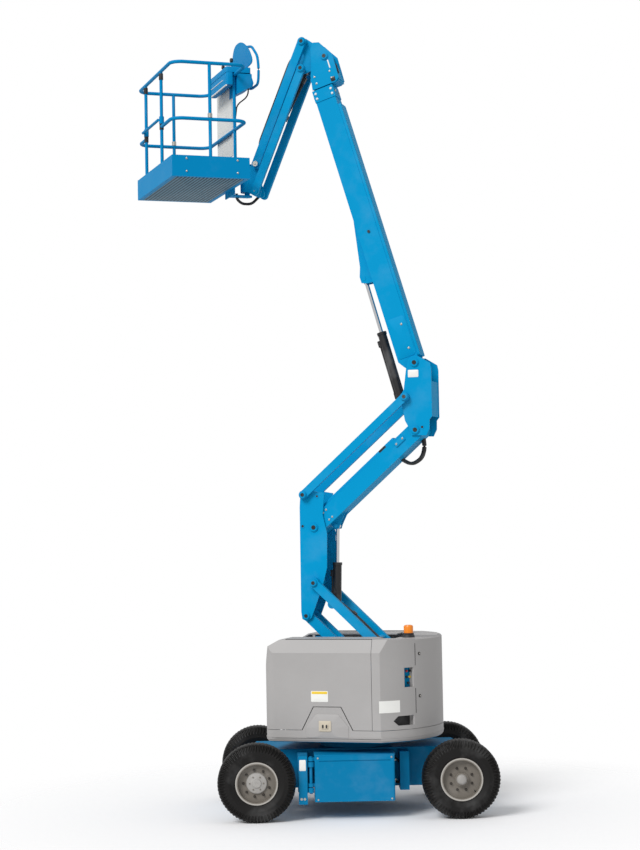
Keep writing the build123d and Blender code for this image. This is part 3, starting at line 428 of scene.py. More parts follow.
class Shader:
    """A node tree with short ways to add and join its nodes."""

    def __init__(self, tree: bpy.types.NodeTree) -> None:
        """Keep the tree."""
        self.tree = tree

    def add(self, kind: str, **settings: object) -> bpy.types.Node:
        """Add a node.

        Args:
            kind: the node's type name.
            settings: its attributes, or its inputs by their names with spaces as underscores.

        Returns:
            The node.
        """
        node = self.tree.nodes.new(kind)
        for key, value in settings.items():
            if hasattr(node, key):
                setattr(node, key, value)
            else:
                node.inputs[key.replace("_", " ")].default_value = value
        return node

    def join(self, output: bpy.types.NodeSocket, target: bpy.types.NodeSocket) -> None:
        """Link an output to an input."""
        self.tree.links.new(output, target)

    def feed(self, target: bpy.types.NodeSocket, value: object) -> None:
        """Give an input a value, or link it when the value is a socket.

        Args:
            target: the input.
            value: a socket, a number or a colour.
        """
        if isinstance(value, bpy.types.NodeSocket):
            self.join(value, target)
        else:
            target.default_value = value

    def math(self, operation: str, first: object, second: object,
             clamp: bool = False) -> bpy.types.NodeSocket:
        """Add a Math node whose inputs are sockets or numbers.

        Args:
            operation: what it works out.
            first: the first value.
            second: the second value.
            clamp: whether the result stays between 0 and 1.

        Returns:
            Its output.
        """
        node = self.add("ShaderNodeMath", operation=operation, use_clamp=clamp)
        self.feed(node.inputs[0], first)
        self.feed(node.inputs[1], second)
        return node.outputs[0]

    def mix(self, factor: object, first: object, second: object) -> bpy.types.NodeSocket:
        """Add a colour mix whose inputs are sockets or colours.

        Args:
            factor: how much of the second.
            first: the first colour.
            second: the second colour.

        Returns:
            Its output.
        """
        node = self.add("ShaderNodeMix", data_type="RGBA")
        for index, value in ((0, factor), (6, first), (7, second)):
            self.feed(node.inputs[index], value)
        return node.outputs[2]


def blank(name: str) -> tuple[bpy.types.Material, Shader, bpy.types.Node]:
    """Start a material.

    Args:
        name: its name.

    Returns:
        The material, the helper of its tree and its Principled node.
    """
    made = bpy.data.materials.new(name)
    made.use_nodes = True
    return made, Shader(made.node_tree), made.node_tree.nodes["Principled BSDF"]


class GroupKit:
    """The shader groups that the finishes share, each built once."""

    def __init__(self) -> None:
        """Start with no groups."""
        self.made: dict[str, bpy.types.NodeTree] = {}

    @staticmethod
    def start(name: str, inputs: dict[str, object], outputs: dict[str, str]) -> tuple:
        """Open a new group.

        Args:
            name: the group's name.
            inputs: input names with their default values.
            outputs: output names with their socket types.

        Returns:
            The tree, its helper, the group's input node and its output node.
        """
        tree = bpy.data.node_groups.new(name, "ShaderNodeTree")
        for label, value in inputs.items():
            kind = "NodeSocketFloat" if isinstance(value, float) else "NodeSocketColor"
            socket = tree.interface.new_socket(label, in_out="INPUT", socket_type=kind)
            socket.default_value = value
        for label, kind in outputs.items():
            tree.interface.new_socket(label, in_out="OUTPUT", socket_type=kind)
        shader = Shader(tree)
        return tree, shader, shader.add("NodeGroupInput"), shader.add("NodeGroupOutput")

    def weathered(self) -> bpy.types.NodeTree:
        """Build the group for slow changes of shade, fine relief and dust that settles low down.

        Returns:
            The group: Colour, Roughness and Height out of a base colour and its amounts.
        """
        if "weathered" in self.made:
            return self.made["weathered"]
        inputs = {
            "Base": (0.5, 0.5, 0.5, 1.0), "Dust Colour": (0.42, 0.38, 0.32, 1.0), "Base Roughness": 0.4,
            "Mottle": 0.1, "Mottle Scale": 3.0, "Grain Scale": 240.0, "Dust": 0.2, "Dust Height": 0.9,
        }
        outputs = {"Colour": "NodeSocketColor", "Roughness": "NodeSocketFloat", "Height": "NodeSocketFloat"}
        tree, shader, given, result = self.start("weathered", inputs, outputs)
        place = shader.add("ShaderNodeTexCoord").outputs["Object"]
        slow = shader.add("ShaderNodeTexNoise", Detail=4.0, Roughness=0.6)
        shader.join(place, slow.inputs["Vector"])
        shader.join(given.outputs["Mottle Scale"], slow.inputs["Scale"])
        fine = shader.add("ShaderNodeTexNoise", Detail=2.0)
        shader.join(place, fine.inputs["Vector"])
        shader.join(given.outputs["Grain Scale"], fine.inputs["Scale"])
        swing = shader.math("SUBTRACT", slow.outputs["Fac"], 0.5)
        shade = shader.math("MULTIPLY", swing, given.outputs["Mottle"])
        shade = shader.math("MULTIPLY", shade, 2.0)
        dark = shader.math("MAXIMUM", shader.math("MULTIPLY", shade, -1.0), 0.0)
        light = shader.math("MAXIMUM", shade, 0.0)
        colour = shader.mix(dark, given.outputs["Base"], (0.0, 0.0, 0.0, 1.0))
        colour = shader.mix(light, colour, (1.0, 1.0, 1.0, 1.0))
        parts = shader.add("ShaderNodeSeparateXYZ")
        shader.join(place, parts.inputs[0])
        low = shader.math("DIVIDE", parts.outputs["Z"], given.outputs["Dust Height"])
        low = shader.math("SUBTRACT", 1.0, low, clamp=True)
        patch = shader.math("MULTIPLY", low, shader.math("ADD", slow.outputs["Fac"], 0.2))
        dust = shader.math("MULTIPLY", patch, given.outputs["Dust"], clamp=True)
        colour = shader.mix(dust, colour, given.outputs["Dust Colour"])
        rough = shader.math("ADD", given.outputs["Base Roughness"], shader.math("MULTIPLY", swing, 0.25))
        rough = shader.math("ADD", rough, shader.math("MULTIPLY", dust, 0.5), clamp=True)
        shader.join(colour, result.inputs["Colour"])
        shader.join(rough, result.inputs["Roughness"])
        shader.join(fine.outputs["Fac"], result.inputs["Height"])
        self.made["weathered"] = tree
        return tree


GROUPS = GroupKit()


@dataclass(frozen=True)
class Finish:
    """One finish of the machine, dressed with the shared weathering."""

    name: str
    colour: Rgb
    roughness: float = 0.4
    metallic: float = 0.0
    coat: float = 0.0
    mottle: float = 0.1
    mottle_scale: float = 3.0
    grain: Grain = Grain.ORANGE_PEEL
    relief: float = 0.05
    dust: float = 0.1
    dust_height: float = 0.9
    glow: float = 0.0
    specular: float = 0.4

    def material(self) -> bpy.types.Material:
        """Make the material, or find it if it is there already.

        Returns:
            The material.
        """
        known = bpy.data.materials.get(self.name)
        if known:
            return known
        made, shader, surface = blank(self.name)
        surface.inputs["Metallic"].default_value = self.metallic
        surface.inputs["Coat Weight"].default_value = self.coat
        surface.inputs["Coat Roughness"].default_value = 0.12
        surface.inputs["Specular IOR Level"].default_value = self.specular
        group = shader.add("ShaderNodeGroup", node_tree=GROUPS.weathered())
        values = {
            "Base": (*self.colour, 1.0), "Base Roughness": self.roughness, "Mottle": self.mottle,
            "Mottle Scale": self.mottle_scale, "Grain Scale": self.grain.value, "Dust": self.dust,
            "Dust Height": self.dust_height,
        }
        for label, value in values.items():
            group.inputs[label].default_value = value
        shader.join(group.outputs["Colour"], surface.inputs["Base Color"])
        shader.join(group.outputs["Roughness"], surface.inputs["Roughness"])
        bump = shader.add("ShaderNodeBump", Strength=self.relief, Distance=0.001)
        shader.join(group.outputs["Height"], bump.inputs["Height"])
        shader.join(bump.outputs["Normal"], surface.inputs["Normal"])
        if self.glow:
            shader.join(group.outputs["Colour"], surface.inputs["Emission Color"])
            surface.inputs["Emission Strength"].default_value = self.glow
        return made


BOOM_BLUE = Finish("boom blue paint", srgb(0, 148, 202), 0.45, mottle=0.05, dust=0.0, specular=0.05)
CHASSIS_BLUE = Finish("chassis blue paint", srgb(0, 120, 168), 0.5, mottle=0.06, dust=0.02, specular=0.05)
PLATFORM_BLUE = Finish("platform blue paint", srgb(0, 136, 194), 0.45, mottle=0.05, dust=0.0, specular=0.05)
COVER_GREY = Finish("moulded grey cover", srgb(166, 164, 163), 0.5, mottle=0.05, grain=Grain.CAST,
                    relief=0.12, specular=0.3)
BLACK_PAINT = Finish("black paint", srgb(30, 30, 32), 0.38, coat=0.2, mottle=0.2, dust=0.0)
BARE_CHROME = Finish("polished rod", (0.75, 0.76, 0.78), 0.16, metallic=1.0, mottle=0.02, relief=0.0,
                     dust=0.0)
ZINC = Finish("zinc plate", (0.6, 0.58, 0.52), 0.35, metallic=1.0, mottle=0.15, relief=0.05)
TYRE_RUBBER = Finish("tyre rubber", srgb(12, 10, 9), 0.5, mottle=0.1, grain=Grain.RUBBER, relief=0.2,
                     dust=0.0, specular=0.28)
HOSE_RUBBER = Finish("hose rubber", srgb(26, 26, 28), 0.55, mottle=0.2, grain=Grain.RUBBER, relief=0.1,
                     dust=0.0)
HUB_GREY = Finish("hub casting", srgb(158, 155, 151), 0.5, mottle=0.3, grain=Grain.CAST, relief=0.2, dust=0.0,
                  specular=0.3)
# Painted highlight: a lighter copy of the rim paint for the rim's rounded lip, where the light catches it.
RIM_EDGE_HIGHLIGHT = Finish("bright rim edge", srgb(172, 168, 162), 0.4, mottle=0.12, grain=Grain.CAST, relief=0.1,
                   dust=0.0)
RIM_GREY = Finish("rim paint", srgb(118, 112, 104), 0.45, mottle=0.15, grain=Grain.CAST, relief=0.1,
                  dust=0.05, specular=0.3)
# Painted shade: a dark copy of the rim paint for the wheel nuts, standing in for the shade in the rim's holes
# round the hub.
RIM_HOLE_SHADE = Finish("dark rim paint", srgb(62, 58, 54), 0.55, mottle=0.15, grain=Grain.CAST, relief=0.1,
                  dust=0.05, specular=0.2)
AMBER = Finish("amber lens", srgb(236, 132, 14), 0.25, coat=0.2, mottle=0.05, relief=0.0, dust=0.0, glow=0.08)
LABEL_WHITE = Finish("blank white label", srgb(236, 236, 232), 0.4, mottle=0.03, relief=0.0, dust=0.05)
LABEL_YELLOW = Finish("blank yellow label", srgb(236, 200, 60), 0.4, mottle=0.03, relief=0.0, dust=0.05)
LATCH_TAN = Finish("latch moulding", srgb(196, 186, 168), 0.5, mottle=0.06, grain=Grain.FINE, relief=0.1)
SWITCH_RED = Finish("red switch cap", srgb(190, 28, 22), 0.35, coat=0.2, mottle=0.03, relief=0.0, dust=0.0)
POUCH_WHITE = Finish("pouch cloth", srgb(226, 226, 222), 0.8, mottle=0.06, mottle_scale=9.0, grain=Grain.FINE,
                     relief=0.6, dust=0.0, specular=0.2)
BLACK_PLASTIC = Finish("black moulded plastic", srgb(34, 34, 36), 0.55, mottle=0.1, grain=Grain.FINE,
                       relief=0.2)


def perforated(name: str) -> bpy.types.Material:
    """Make the dark floor plate with rows of round holes, from the object's coordinates.

    Args:
        name: the material's name.

    Returns:
        The material.
    """
    made, shader, surface = blank(name)
    place = shader.add("ShaderNodeTexCoord").outputs["Object"]
    aligned = shader.add("ShaderNodeMapping")
    aligned.inputs["Rotation"].default_value = (0, 0, -PLATFORM_TURN)
    shader.join(place, aligned.inputs["Vector"])
    cell = shader.add("ShaderNodeVectorMath", operation="SCALE", Scale=1 / HOLE_PITCH)
    shader.join(aligned.outputs[0], cell.inputs[0])
    part = shader.add("ShaderNodeVectorMath", operation="FRACTION")
    shader.join(cell.outputs[0], part.inputs[0])
    parts = shader.add("ShaderNodeSeparateXYZ")
    shader.join(part.outputs[0], parts.inputs[0])
    across = shader.math("SUBTRACT", parts.outputs["X"], 0.5)
    along_y = shader.math("SUBTRACT", parts.outputs["Y"], 0.5)
    across_square = shader.math("MULTIPLY", across, across)
    along_square = shader.math("MULTIPLY", along_y, along_y)
    distance = shader.math("ADD", across_square, along_square)
    hole = shader.math("LESS_THAN", distance, HOLE_RADIUS ** 2)
    # Painted light: the holes are coloured pale, standing in for the brightness seen through them; the plate
    # between them is dark blue.
    colour = shader.mix(hole, (*srgb(6, 50, 74), 1.0), (*srgb(120, 170, 192), 1.0))
    shader.join(colour, surface.inputs["Base Color"])
    surface.inputs["Roughness"].default_value = 0.6
    bump = shader.add("ShaderNodeBump", Strength=0.6, Distance=0.002)
    shader.join(shader.math("SUBTRACT", 1.0, hole), bump.inputs["Height"])
    shader.join(bump.outputs["Normal"], surface.inputs["Normal"])
    return made


NODE_FINISHES: dict[str, Finish] = {
    "chassis_blue": CHASSIS_BLUE,
    "cover_grey": COVER_GREY,
    "boom_blue": BOOM_BLUE,
    "black_parts": BLACK_PAINT,
    "rod_chrome": BARE_CHROME,
    "platform_blue": PLATFORM_BLUE,
    "tyre_rubber": TYRE_RUBBER,
    "rim_grey": RIM_GREY,
    "lamp_amber": AMBER,
}


@dataclass
class Frame:
    """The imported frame, dressed node by node."""

    loaded: dict

    def dress(self) -> None:
        """Give every CAD node the finish of its slot, and the control box the platform's blue."""
        slots = {row["node"]: row["material_slot"] for row in self.loaded["record"]["subparts"]}
        for name, node in self.loaded["nodes"].items():
            node.data.materials.clear()
            finish = PLATFORM_BLUE if name == "control_box" else NODE_FINISHES[slots[name]]
            node.data.materials.append(finish.material())
        LOG.info("dressed %d nodes", len(self.loaded["nodes"]))


@dataclass
class Tyre:
    """One tyre with its tread blocks, shoulder ribs and moulded side rings."""

    name: str
    body: str
    centre: Point
    radius: float = TYRE_RADIUS
    half_width: float = 0.115
    bead: float = 0.1845
    ribs: int = 66
    rib_depth: float = 0.010

    def surface(self) -> Surface:
        """Work out the tyre: a turned profile whose shoulders wave with the ribs.

        p(t, a) = (R(t, a) cos a, y(t), R(t, a) sin a), R = r(t) - depth * shoulder(t) * groove(a), where
        groove is 1 in the gaps between the ribs.

        Returns:
            The points and the quads.
        """
        w = self.half_width
        half = np.array([
            (self.bead, 0.080), (self.bead + 0.006, 0.094), (self.bead + 0.022, 0.098), (0.232, 0.108),
            (0.250, 0.1135), (0.256, 0.1150), (0.262, 0.1135), (0.290, w), (0.318, 0.1125), (0.322, 0.1105),
            (0.336, 0.108), (0.348, 0.100), (0.3575, 0.088), (self.radius, 0.070), (self.radius, 0.036),
            (self.radius, 0.032), (self.radius - 0.007, 0.030), (self.radius - 0.007, 0.022),
            (self.radius, 0.020), (self.radius, 0.002),
        ])
        back = half[::-1] * (1, -1)
        inner = np.array([(self.bead + 0.02, -0.06), (self.bead + 0.02, 0.06), half[0]])
        profile = np.concatenate([half, back, inner])
        steps = 4
        angle = np.linspace(0, 2 * np.pi, self.ribs * steps, endpoint=False)
        groove = np.arange(self.ribs * steps) % steps < 2
        r, y = profile[:, 0:1], profile[:, 1:2]
        shoulder = np.clip((np.abs(y) - 0.060) / 0.02, 0, 1) * np.clip((r - 0.300) / 0.016, 0, 1)
        radius = r - self.rib_depth * shoulder * groove[None, :]
        across = y - np.sign(y) * 0.9 * self.rib_depth * shoulder * groove[None, :]
        points = np.stack([radius * np.cos(angle), across + 0 * radius, radius * np.sin(angle)], -1)
        return points.reshape(-1, 3), grid_faces(len(profile), len(angle), True)

    def build(self) -> bpy.types.Object:
        """Make the tyre in place of its CAD node.

        Returns:
            The object.
        """
        mesh = Mesh().add(self.surface(), Place.of(shift(*self.centre)))
        piece = mesh.build(f"{self.name}_tread", TYRE_RUBBER.material(), self.body)
        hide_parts(f"tyre_{self.name}")
        return piece


@dataclass
class WheelFace:
    """The ring of wheel nuts on one wheel's outer face, painted dark as the shade in the rim's holes."""

    name: str
    body: str
    centre: Point
    outside: int
    bolts: int
    ring: float
    face: float
    bolt_radius: float = 0.011

    def bolt(self) -> Surface:
        """Turn a hexagon nut with a stud end, standing on y = 0 towards -Y.

        Returns:
            The points and the quads.
        """
        r = self.bolt_radius
        profile = np.array([
            (0.0, 0.0), (1.25 * r, 0.0), (1.25 * r, -0.003), (r, -0.004), (r, -0.014), (0.85 * r, -0.016),
            (0.5 * r, -0.016), (0.5 * r, -0.024), (0.35 * r, -0.026), (0.0, -0.026),
        ])
        return lathe(profile, 6)

    def build(self) -> bpy.types.Object:
        """Make the ring of nuts.

        Returns:
            The object.
        """
        mesh = Mesh()
        base = shift(*self.centre) @ turn("Z", 0 if self.outside < 0 else math.pi)
        for index in range(self.bolts):
            angle = 2 * math.pi * (index + 0.5) / self.bolts
            spot_at = shift(self.ring * math.cos(angle), self.face, self.ring * math.sin(angle))
            mesh.add(self.bolt(), Place.of(base @ spot_at))
        return mesh.build(f"{self.name}_bolts", RIM_HOLE_SHADE.material(), self.body)


@dataclass
class Wheels:
    """The four wheels."""

    disc_face: float = RIM_FACE

    def build(self) -> None:
        """Make each wheel's tyre and its ring of nuts."""
        for x_side, axle, bolts, ring in ((-1, "drive", 9, 0.121), (1, "steer", 8, 0.104)):
            for y_side, side in ((-1, "near"), (1, "far")):
                centre = (x_side * WHEELBASE / 2, y_side * TRACK / 2, TYRE_RADIUS)
                body = f"wheel_{axle}_{side}"
                name = f"{axle}_{side}"
                Tyre(name, body, centre).build()
                WheelFace(name, body, centre, y_side, bolts, ring, self.disc_face).build()


class Facing(Enum):
    """Which way a fitting looks in its frame, as the axis and angle that carry +Z there."""

    LEFT = ("X", -90)
    RIGHT = ("X", 90)
    AHEAD = ("Y", 90)
    BACK = ("Y", -90)
    UP = ("X", 0)
    DOWN = ("X", 180)

    def at(self, frame: Place, spot_at: Point, spin: float = 0.0) -> Place:
        """The place of a fitting that looks this way.

        Args:
            frame: the frame it stands in.
            spot_at: its foot in that frame.
            spin: a turn about the way it looks, in radians.

        Returns:
            The place.
        """
        axis, degrees = self.value
        return frame.then(shift(*spot_at) @ turn(axis, math.radians(degrees)) @ turn("Z", spin))


def spun(profile: Profile, segments: int = 24) -> Surface:
    """Turn a profile of radius and height about +Z."""
    points, quads = lathe(np.array(profile), segments)
    return points[:, [0, 2, 1]], quads


def cap(radius: float, height: float) -> Surface:
    """Turn a flat cap with an eased rim and a dimple in its middle.

    Args:
        radius: the cap's radius.
        height: how far it stands out.

    Returns:
        The points and the quads.
    """
    ease = min(0.25 * height, 0.2 * radius)
    return spun([(0, 0.55 * height), (0.22 * radius, 0.55 * height), (0.28 * radius, height),
                 (radius - ease, height), (radius, height - ease), (radius, 0), (0, 0)])


def nut(radius: float) -> Surface:
    """A hexagon head on its washer."""
    return spun([(0, 0), (1.3 * radius, 0), (1.3 * radius, 0.2 * radius), (radius, 0.25 * radius),
                 (radius, 0.9 * radius), (0.8 * radius, 1.05 * radius), (0, 1.05 * radius)], 6)


def plate(length: float, width: float, thick: float, corner: float = 0.008) -> Surface:
    """A small plate with round corners, standing on z = 0."""
    round_corner = min(corner, 0.49 * min(length, width))
    return rounded_slab((length, width, thick), round_corner, min(0.3 * thick, 0.003), 5)


def band(radius: float, thick: float, sweep: Flat, rise: Flat, steps: int = 12) -> Surface:
    """A thin strip bent round +Z: p(a, c) = (r(c) cos a, r(c) sin a, z(c)) with c round its section.

    Args:
        radius: the inner radius.
        thick: how far it stands out.
        sweep: first and last angle, in degrees.
        rise: its lower and upper height.
        steps: quads along the sweep.

    Returns:
        The points and the quads.
    """
    angle = np.radians(np.linspace(*sweep, steps + 1))[:, None]
    r = np.array([radius, radius + thick, radius + thick, radius])
    z = np.array([rise[0], rise[0], rise[1], rise[1]])
    rows = np.stack([r * np.cos(angle), r * np.sin(angle), z + 0 * angle], -1)
    first = np.repeat(rows[:1].mean(axis=1, keepdims=True), 4, axis=1)
    last = np.repeat(rows[-1:].mean(axis=1, keepdims=True), 4, axis=1)
    points = np.concatenate([first, rows, last])
    return points.reshape(-1, 3), grid_faces(len(points), 4, True)


def eased(points: list[tuple[float, ...]], radius: float, steps: int = 6) -> np.ndarray:
    """Round a path's corners with quadratic arcs: c(t) = (1-t)^2 p + 2t(1-t) q + t^2 r.

    Args:
        points: the path's corners, in two or three dimensions.
        radius: how far from a corner its rounding starts.
        steps: points in each rounding.

    Returns:
        The path, one point a row.
    """
    corner = np.array(points, float)
    path = [corner[0]]
    for before, middle, after in zip(corner, corner[1:], corner[2:]):
        back, ahead = before - middle, after - middle
        start = middle + back * min(radius / np.linalg.norm(back), 0.45)
        end = middle + ahead * min(radius / np.linalg.norm(ahead), 0.45)
        for t in np.linspace(0, 1, steps):
            path.append((1 - t) ** 2 * start + 2 * t * (1 - t) * middle + t ** 2 * end)
    path.append(corner[-1])
    return np.array(path)


@dataclass
class Fittings:
    """Small fittings of one sub-assembly, gathered by the body they ride on and the finish they wear."""

    name: str = "fittings"
    gathered: dict[tuple[str, str], Mesh] = field(default_factory=dict)
    finishes: dict[str, Finish] = field(default_factory=dict)

    def put(self, surface: Surface, place: Place, body: str, finish: Finish) -> None:
        """Gather one surface.

        Args:
            surface: its points and quads.
            place: where it stands.
            body: the body that it rides on.
            finish: its finish.
        """
        self.finishes[finish.name] = finish
        self.gathered.setdefault((body, finish.name), Mesh()).add(surface, place)

    def pair(self, surface: Surface, frame: Place, at: Point, body: str, finish: Finish,
             spin: float = 0.0) -> None:
        """Gather a surface twice, on both sides of a frame and looking outwards.

        Args:
            surface: its points and quads.
            frame: the frame that it stands in.
            at: its foot on the frame's +Y side.
            body: the body that it rides on.
            finish: its finish.
            spin: a turn about the way it looks, in radians.
        """
        x, y, z = at
        for side, facing in ((1, Facing.LEFT), (-1, Facing.RIGHT)):
            self.put(surface, facing.at(frame, (x, side * y, z), spin), body, finish)

    def bundle(self, frame: Place, body: str, radius: float, ease: float, across: tuple[float, ...],
               run: Profile) -> None:
        """Gather hoses that run side by side.

        Args:
            frame: the frame that they run in.
            body: the body that they ride on.
            radius: the radius of each hose.
            ease: how far from a corner its rounding starts.
            across: the y of each hose.
            run: the corners of their path, as x and z.
        """
        for y in across:
            path = eased([(x, y, z) for x, z in run], ease)
            self.put(tube(path, radius), frame, body, HOSE_RUBBER)

    def gather(self) -> None:
        """Gather all fittings, in each sub-assembly's own way."""

    def build(self) -> None:
        """Gather the fittings and make one object for each body and finish."""
        self.gather()
        for (body, finish), mesh in self.gathered.items():
            label = f"{self.name}_{body}_{finish}".replace(" ", "_")
            mesh.build(label, self.finishes[finish].material(), body)


@dataclass
class PinCaps(Fittings):
    """Caps, middle buttons and keeper bolts on both ends of the arms' pins."""

    name: str = "pins"
    boss: float = 0.036
    tower_boss: float = 0.042
    head_boss: float = 0.038
    carrier_boss: float = 0.032

    def gather(self) -> None:
        """Dress both ends of each pin."""
        high = spot(PINS.riser_foot, PINS.high_link_set)
        top_link = spot(PINS.tower_low, PINS.high_link_set)
        link_end = spot(PINS.jib_end, PINS.jib_link_set)
        rows = [
            # body, pin, half width over the heads, head radius, keeper angle in degrees
            ("turntable", LOWER_BASE, 0.229, self.boss, 100),
            ("turntable", spot(LOWER_BASE, PINS.low_link_set), 0.165, self.boss, 200),
            ("mid_tower", PINS.lower_top, 0.229, self.boss, 250),
            ("mid_tower", spot(PINS.lower_top, PINS.low_link_set), 0.165, self.boss, 20),
            ("mid_tower", PINS.riser_foot, 0.165, self.tower_boss, 160),
            ("mid_tower", high, 0.218, self.boss, 0),
            ("top_tower", PINS.tower_low, 0.165, self.tower_boss, 30),
            ("top_tower", top_link, 0.218, self.boss, 60),
            ("top_tower", PINS.boom_pivot, 0.165, self.tower_boss, 200),
            ("boom_inner", PINS.nose, 0.116, self.head_boss, 250),
            ("nose_bracket", PINS.jib_top, 0.127, self.boss, 110),
            ("nose_bracket", spot(PINS.jib_top, PINS.jib_link_set), 0.171, self.boss, 110),
            ("platform_carrier", PINS.jib_end, 0.125, self.carrier_boss, 110),
            ("platform_carrier", link_end, 0.156, self.carrier_boss, 110),
        ]
        for body, (x, z), out, radius, keeper in rows:
            plain = radius == self.carrier_boss
            paint = ZINC if plain else BOOM_BLUE
            button, button_paint = (nut(0.009), ZINC) if plain else (cap(0.5 * radius, 0.006), BLACK_PAINT)
            self.pair(cap(0.86 * radius, 0.006), UPPER, (x, out, z), body, paint)
            self.pair(button, UPPER, (x, out + 0.004, z), body, button_paint)
            keeper_x, keeper_z = reach((x, z), math.radians(keeper), 0.72 * radius)
            self.pair(nut(0.005), UPPER, (keeper_x, out + 0.005, keeper_z), body, paint)


def deck_plan(inset: float, steps: int = 40) -> np.ndarray:
    """The turntable's plan: a straight front with round corners, straight sides and a round tail.

    The corners are c + r (sin a, cos a) and the tail is -R (cos a, sin a), with R about the slewing axis.

    Args:
        inset: how far inside the covers' outline it lies.
        steps: points along the tail.

    Returns:
        The outline, one point (x, y) a row, once round.
    """
    front, side, tail, corner = FRONT_X - inset, SIDE_Y - inset, TAIL_RADIUS - inset, FRONT_CORNER - inset
    bend = np.linspace(0, np.pi / 2, 8)
    near = np.stack([front - corner + corner * np.sin(bend), side - corner + corner * np.cos(bend)], -1)
    start = math.asin(side / tail)
    sweep = np.linspace(start, -start, steps)
    round_tail = -tail * np.stack([np.cos(sweep), np.sin(sweep)], -1)
    return np.concatenate([near, near[::-1] * (1, -1), round_tail])


def wall(outer: np.ndarray, inner: np.ndarray, low: float, high: float) -> Surface:
    """A closed wall between two outlines, its section carried once round them.

    Args:
        outer: the outside, one point (x, y) a row.
        inner: the inside, with as many points.
        low: its lower height.
        high: its upper height.

    Returns:
        The points and the quads.
    """
    section = [(outer, low), (outer, high), (inner, high), (inner, low), (outer, low)]
    rows = [np.column_stack([line, np.full(len(line), z)]) for line, z in section]
    return np.concatenate(rows), grid_faces(len(rows), len(outer), True)


def sided(corners: np.ndarray, steps: int) -> np.ndarray:
    """Split each side of a closed outline into equal steps.

    Args:
        corners: its corners, one a row.
        steps: how many steps a side gets.

    Returns:
        The outline's points, once round.
    """
    sides = zip(corners, np.roll(corners, -1, axis=0))
    return np.concatenate([np.linspace(start, end, steps, endpoint=False) for start, end in sides])


def fan(outline: np.ndarray, thick: float, ease: float) -> Surface:
    """A plate over a star-shaped outline, its rim eased: rings of the outline drawn towards its middle.

    Args:
        outline: points (x, y) round the plate, about its middle at the origin.
        thick: how far it stands up.
        ease: how far the rim is drawn in.

    Returns:
        The points and the quads.
    """
    size = np.linalg.norm(outline, axis=1, keepdims=True)
    rings = []
    for z, line in (
        (0.0, 0 * outline),
        (0.0, outline),
        (thick * 0.5, outline),
        (thick, outline * (1 - ease / size)),
        (thick, 0 * outline),
    ):
        rings.append(np.column_stack([line, np.full(len(outline), z)]))
    return np.concatenate(rings), grid_faces(len(rings), len(outline), True)


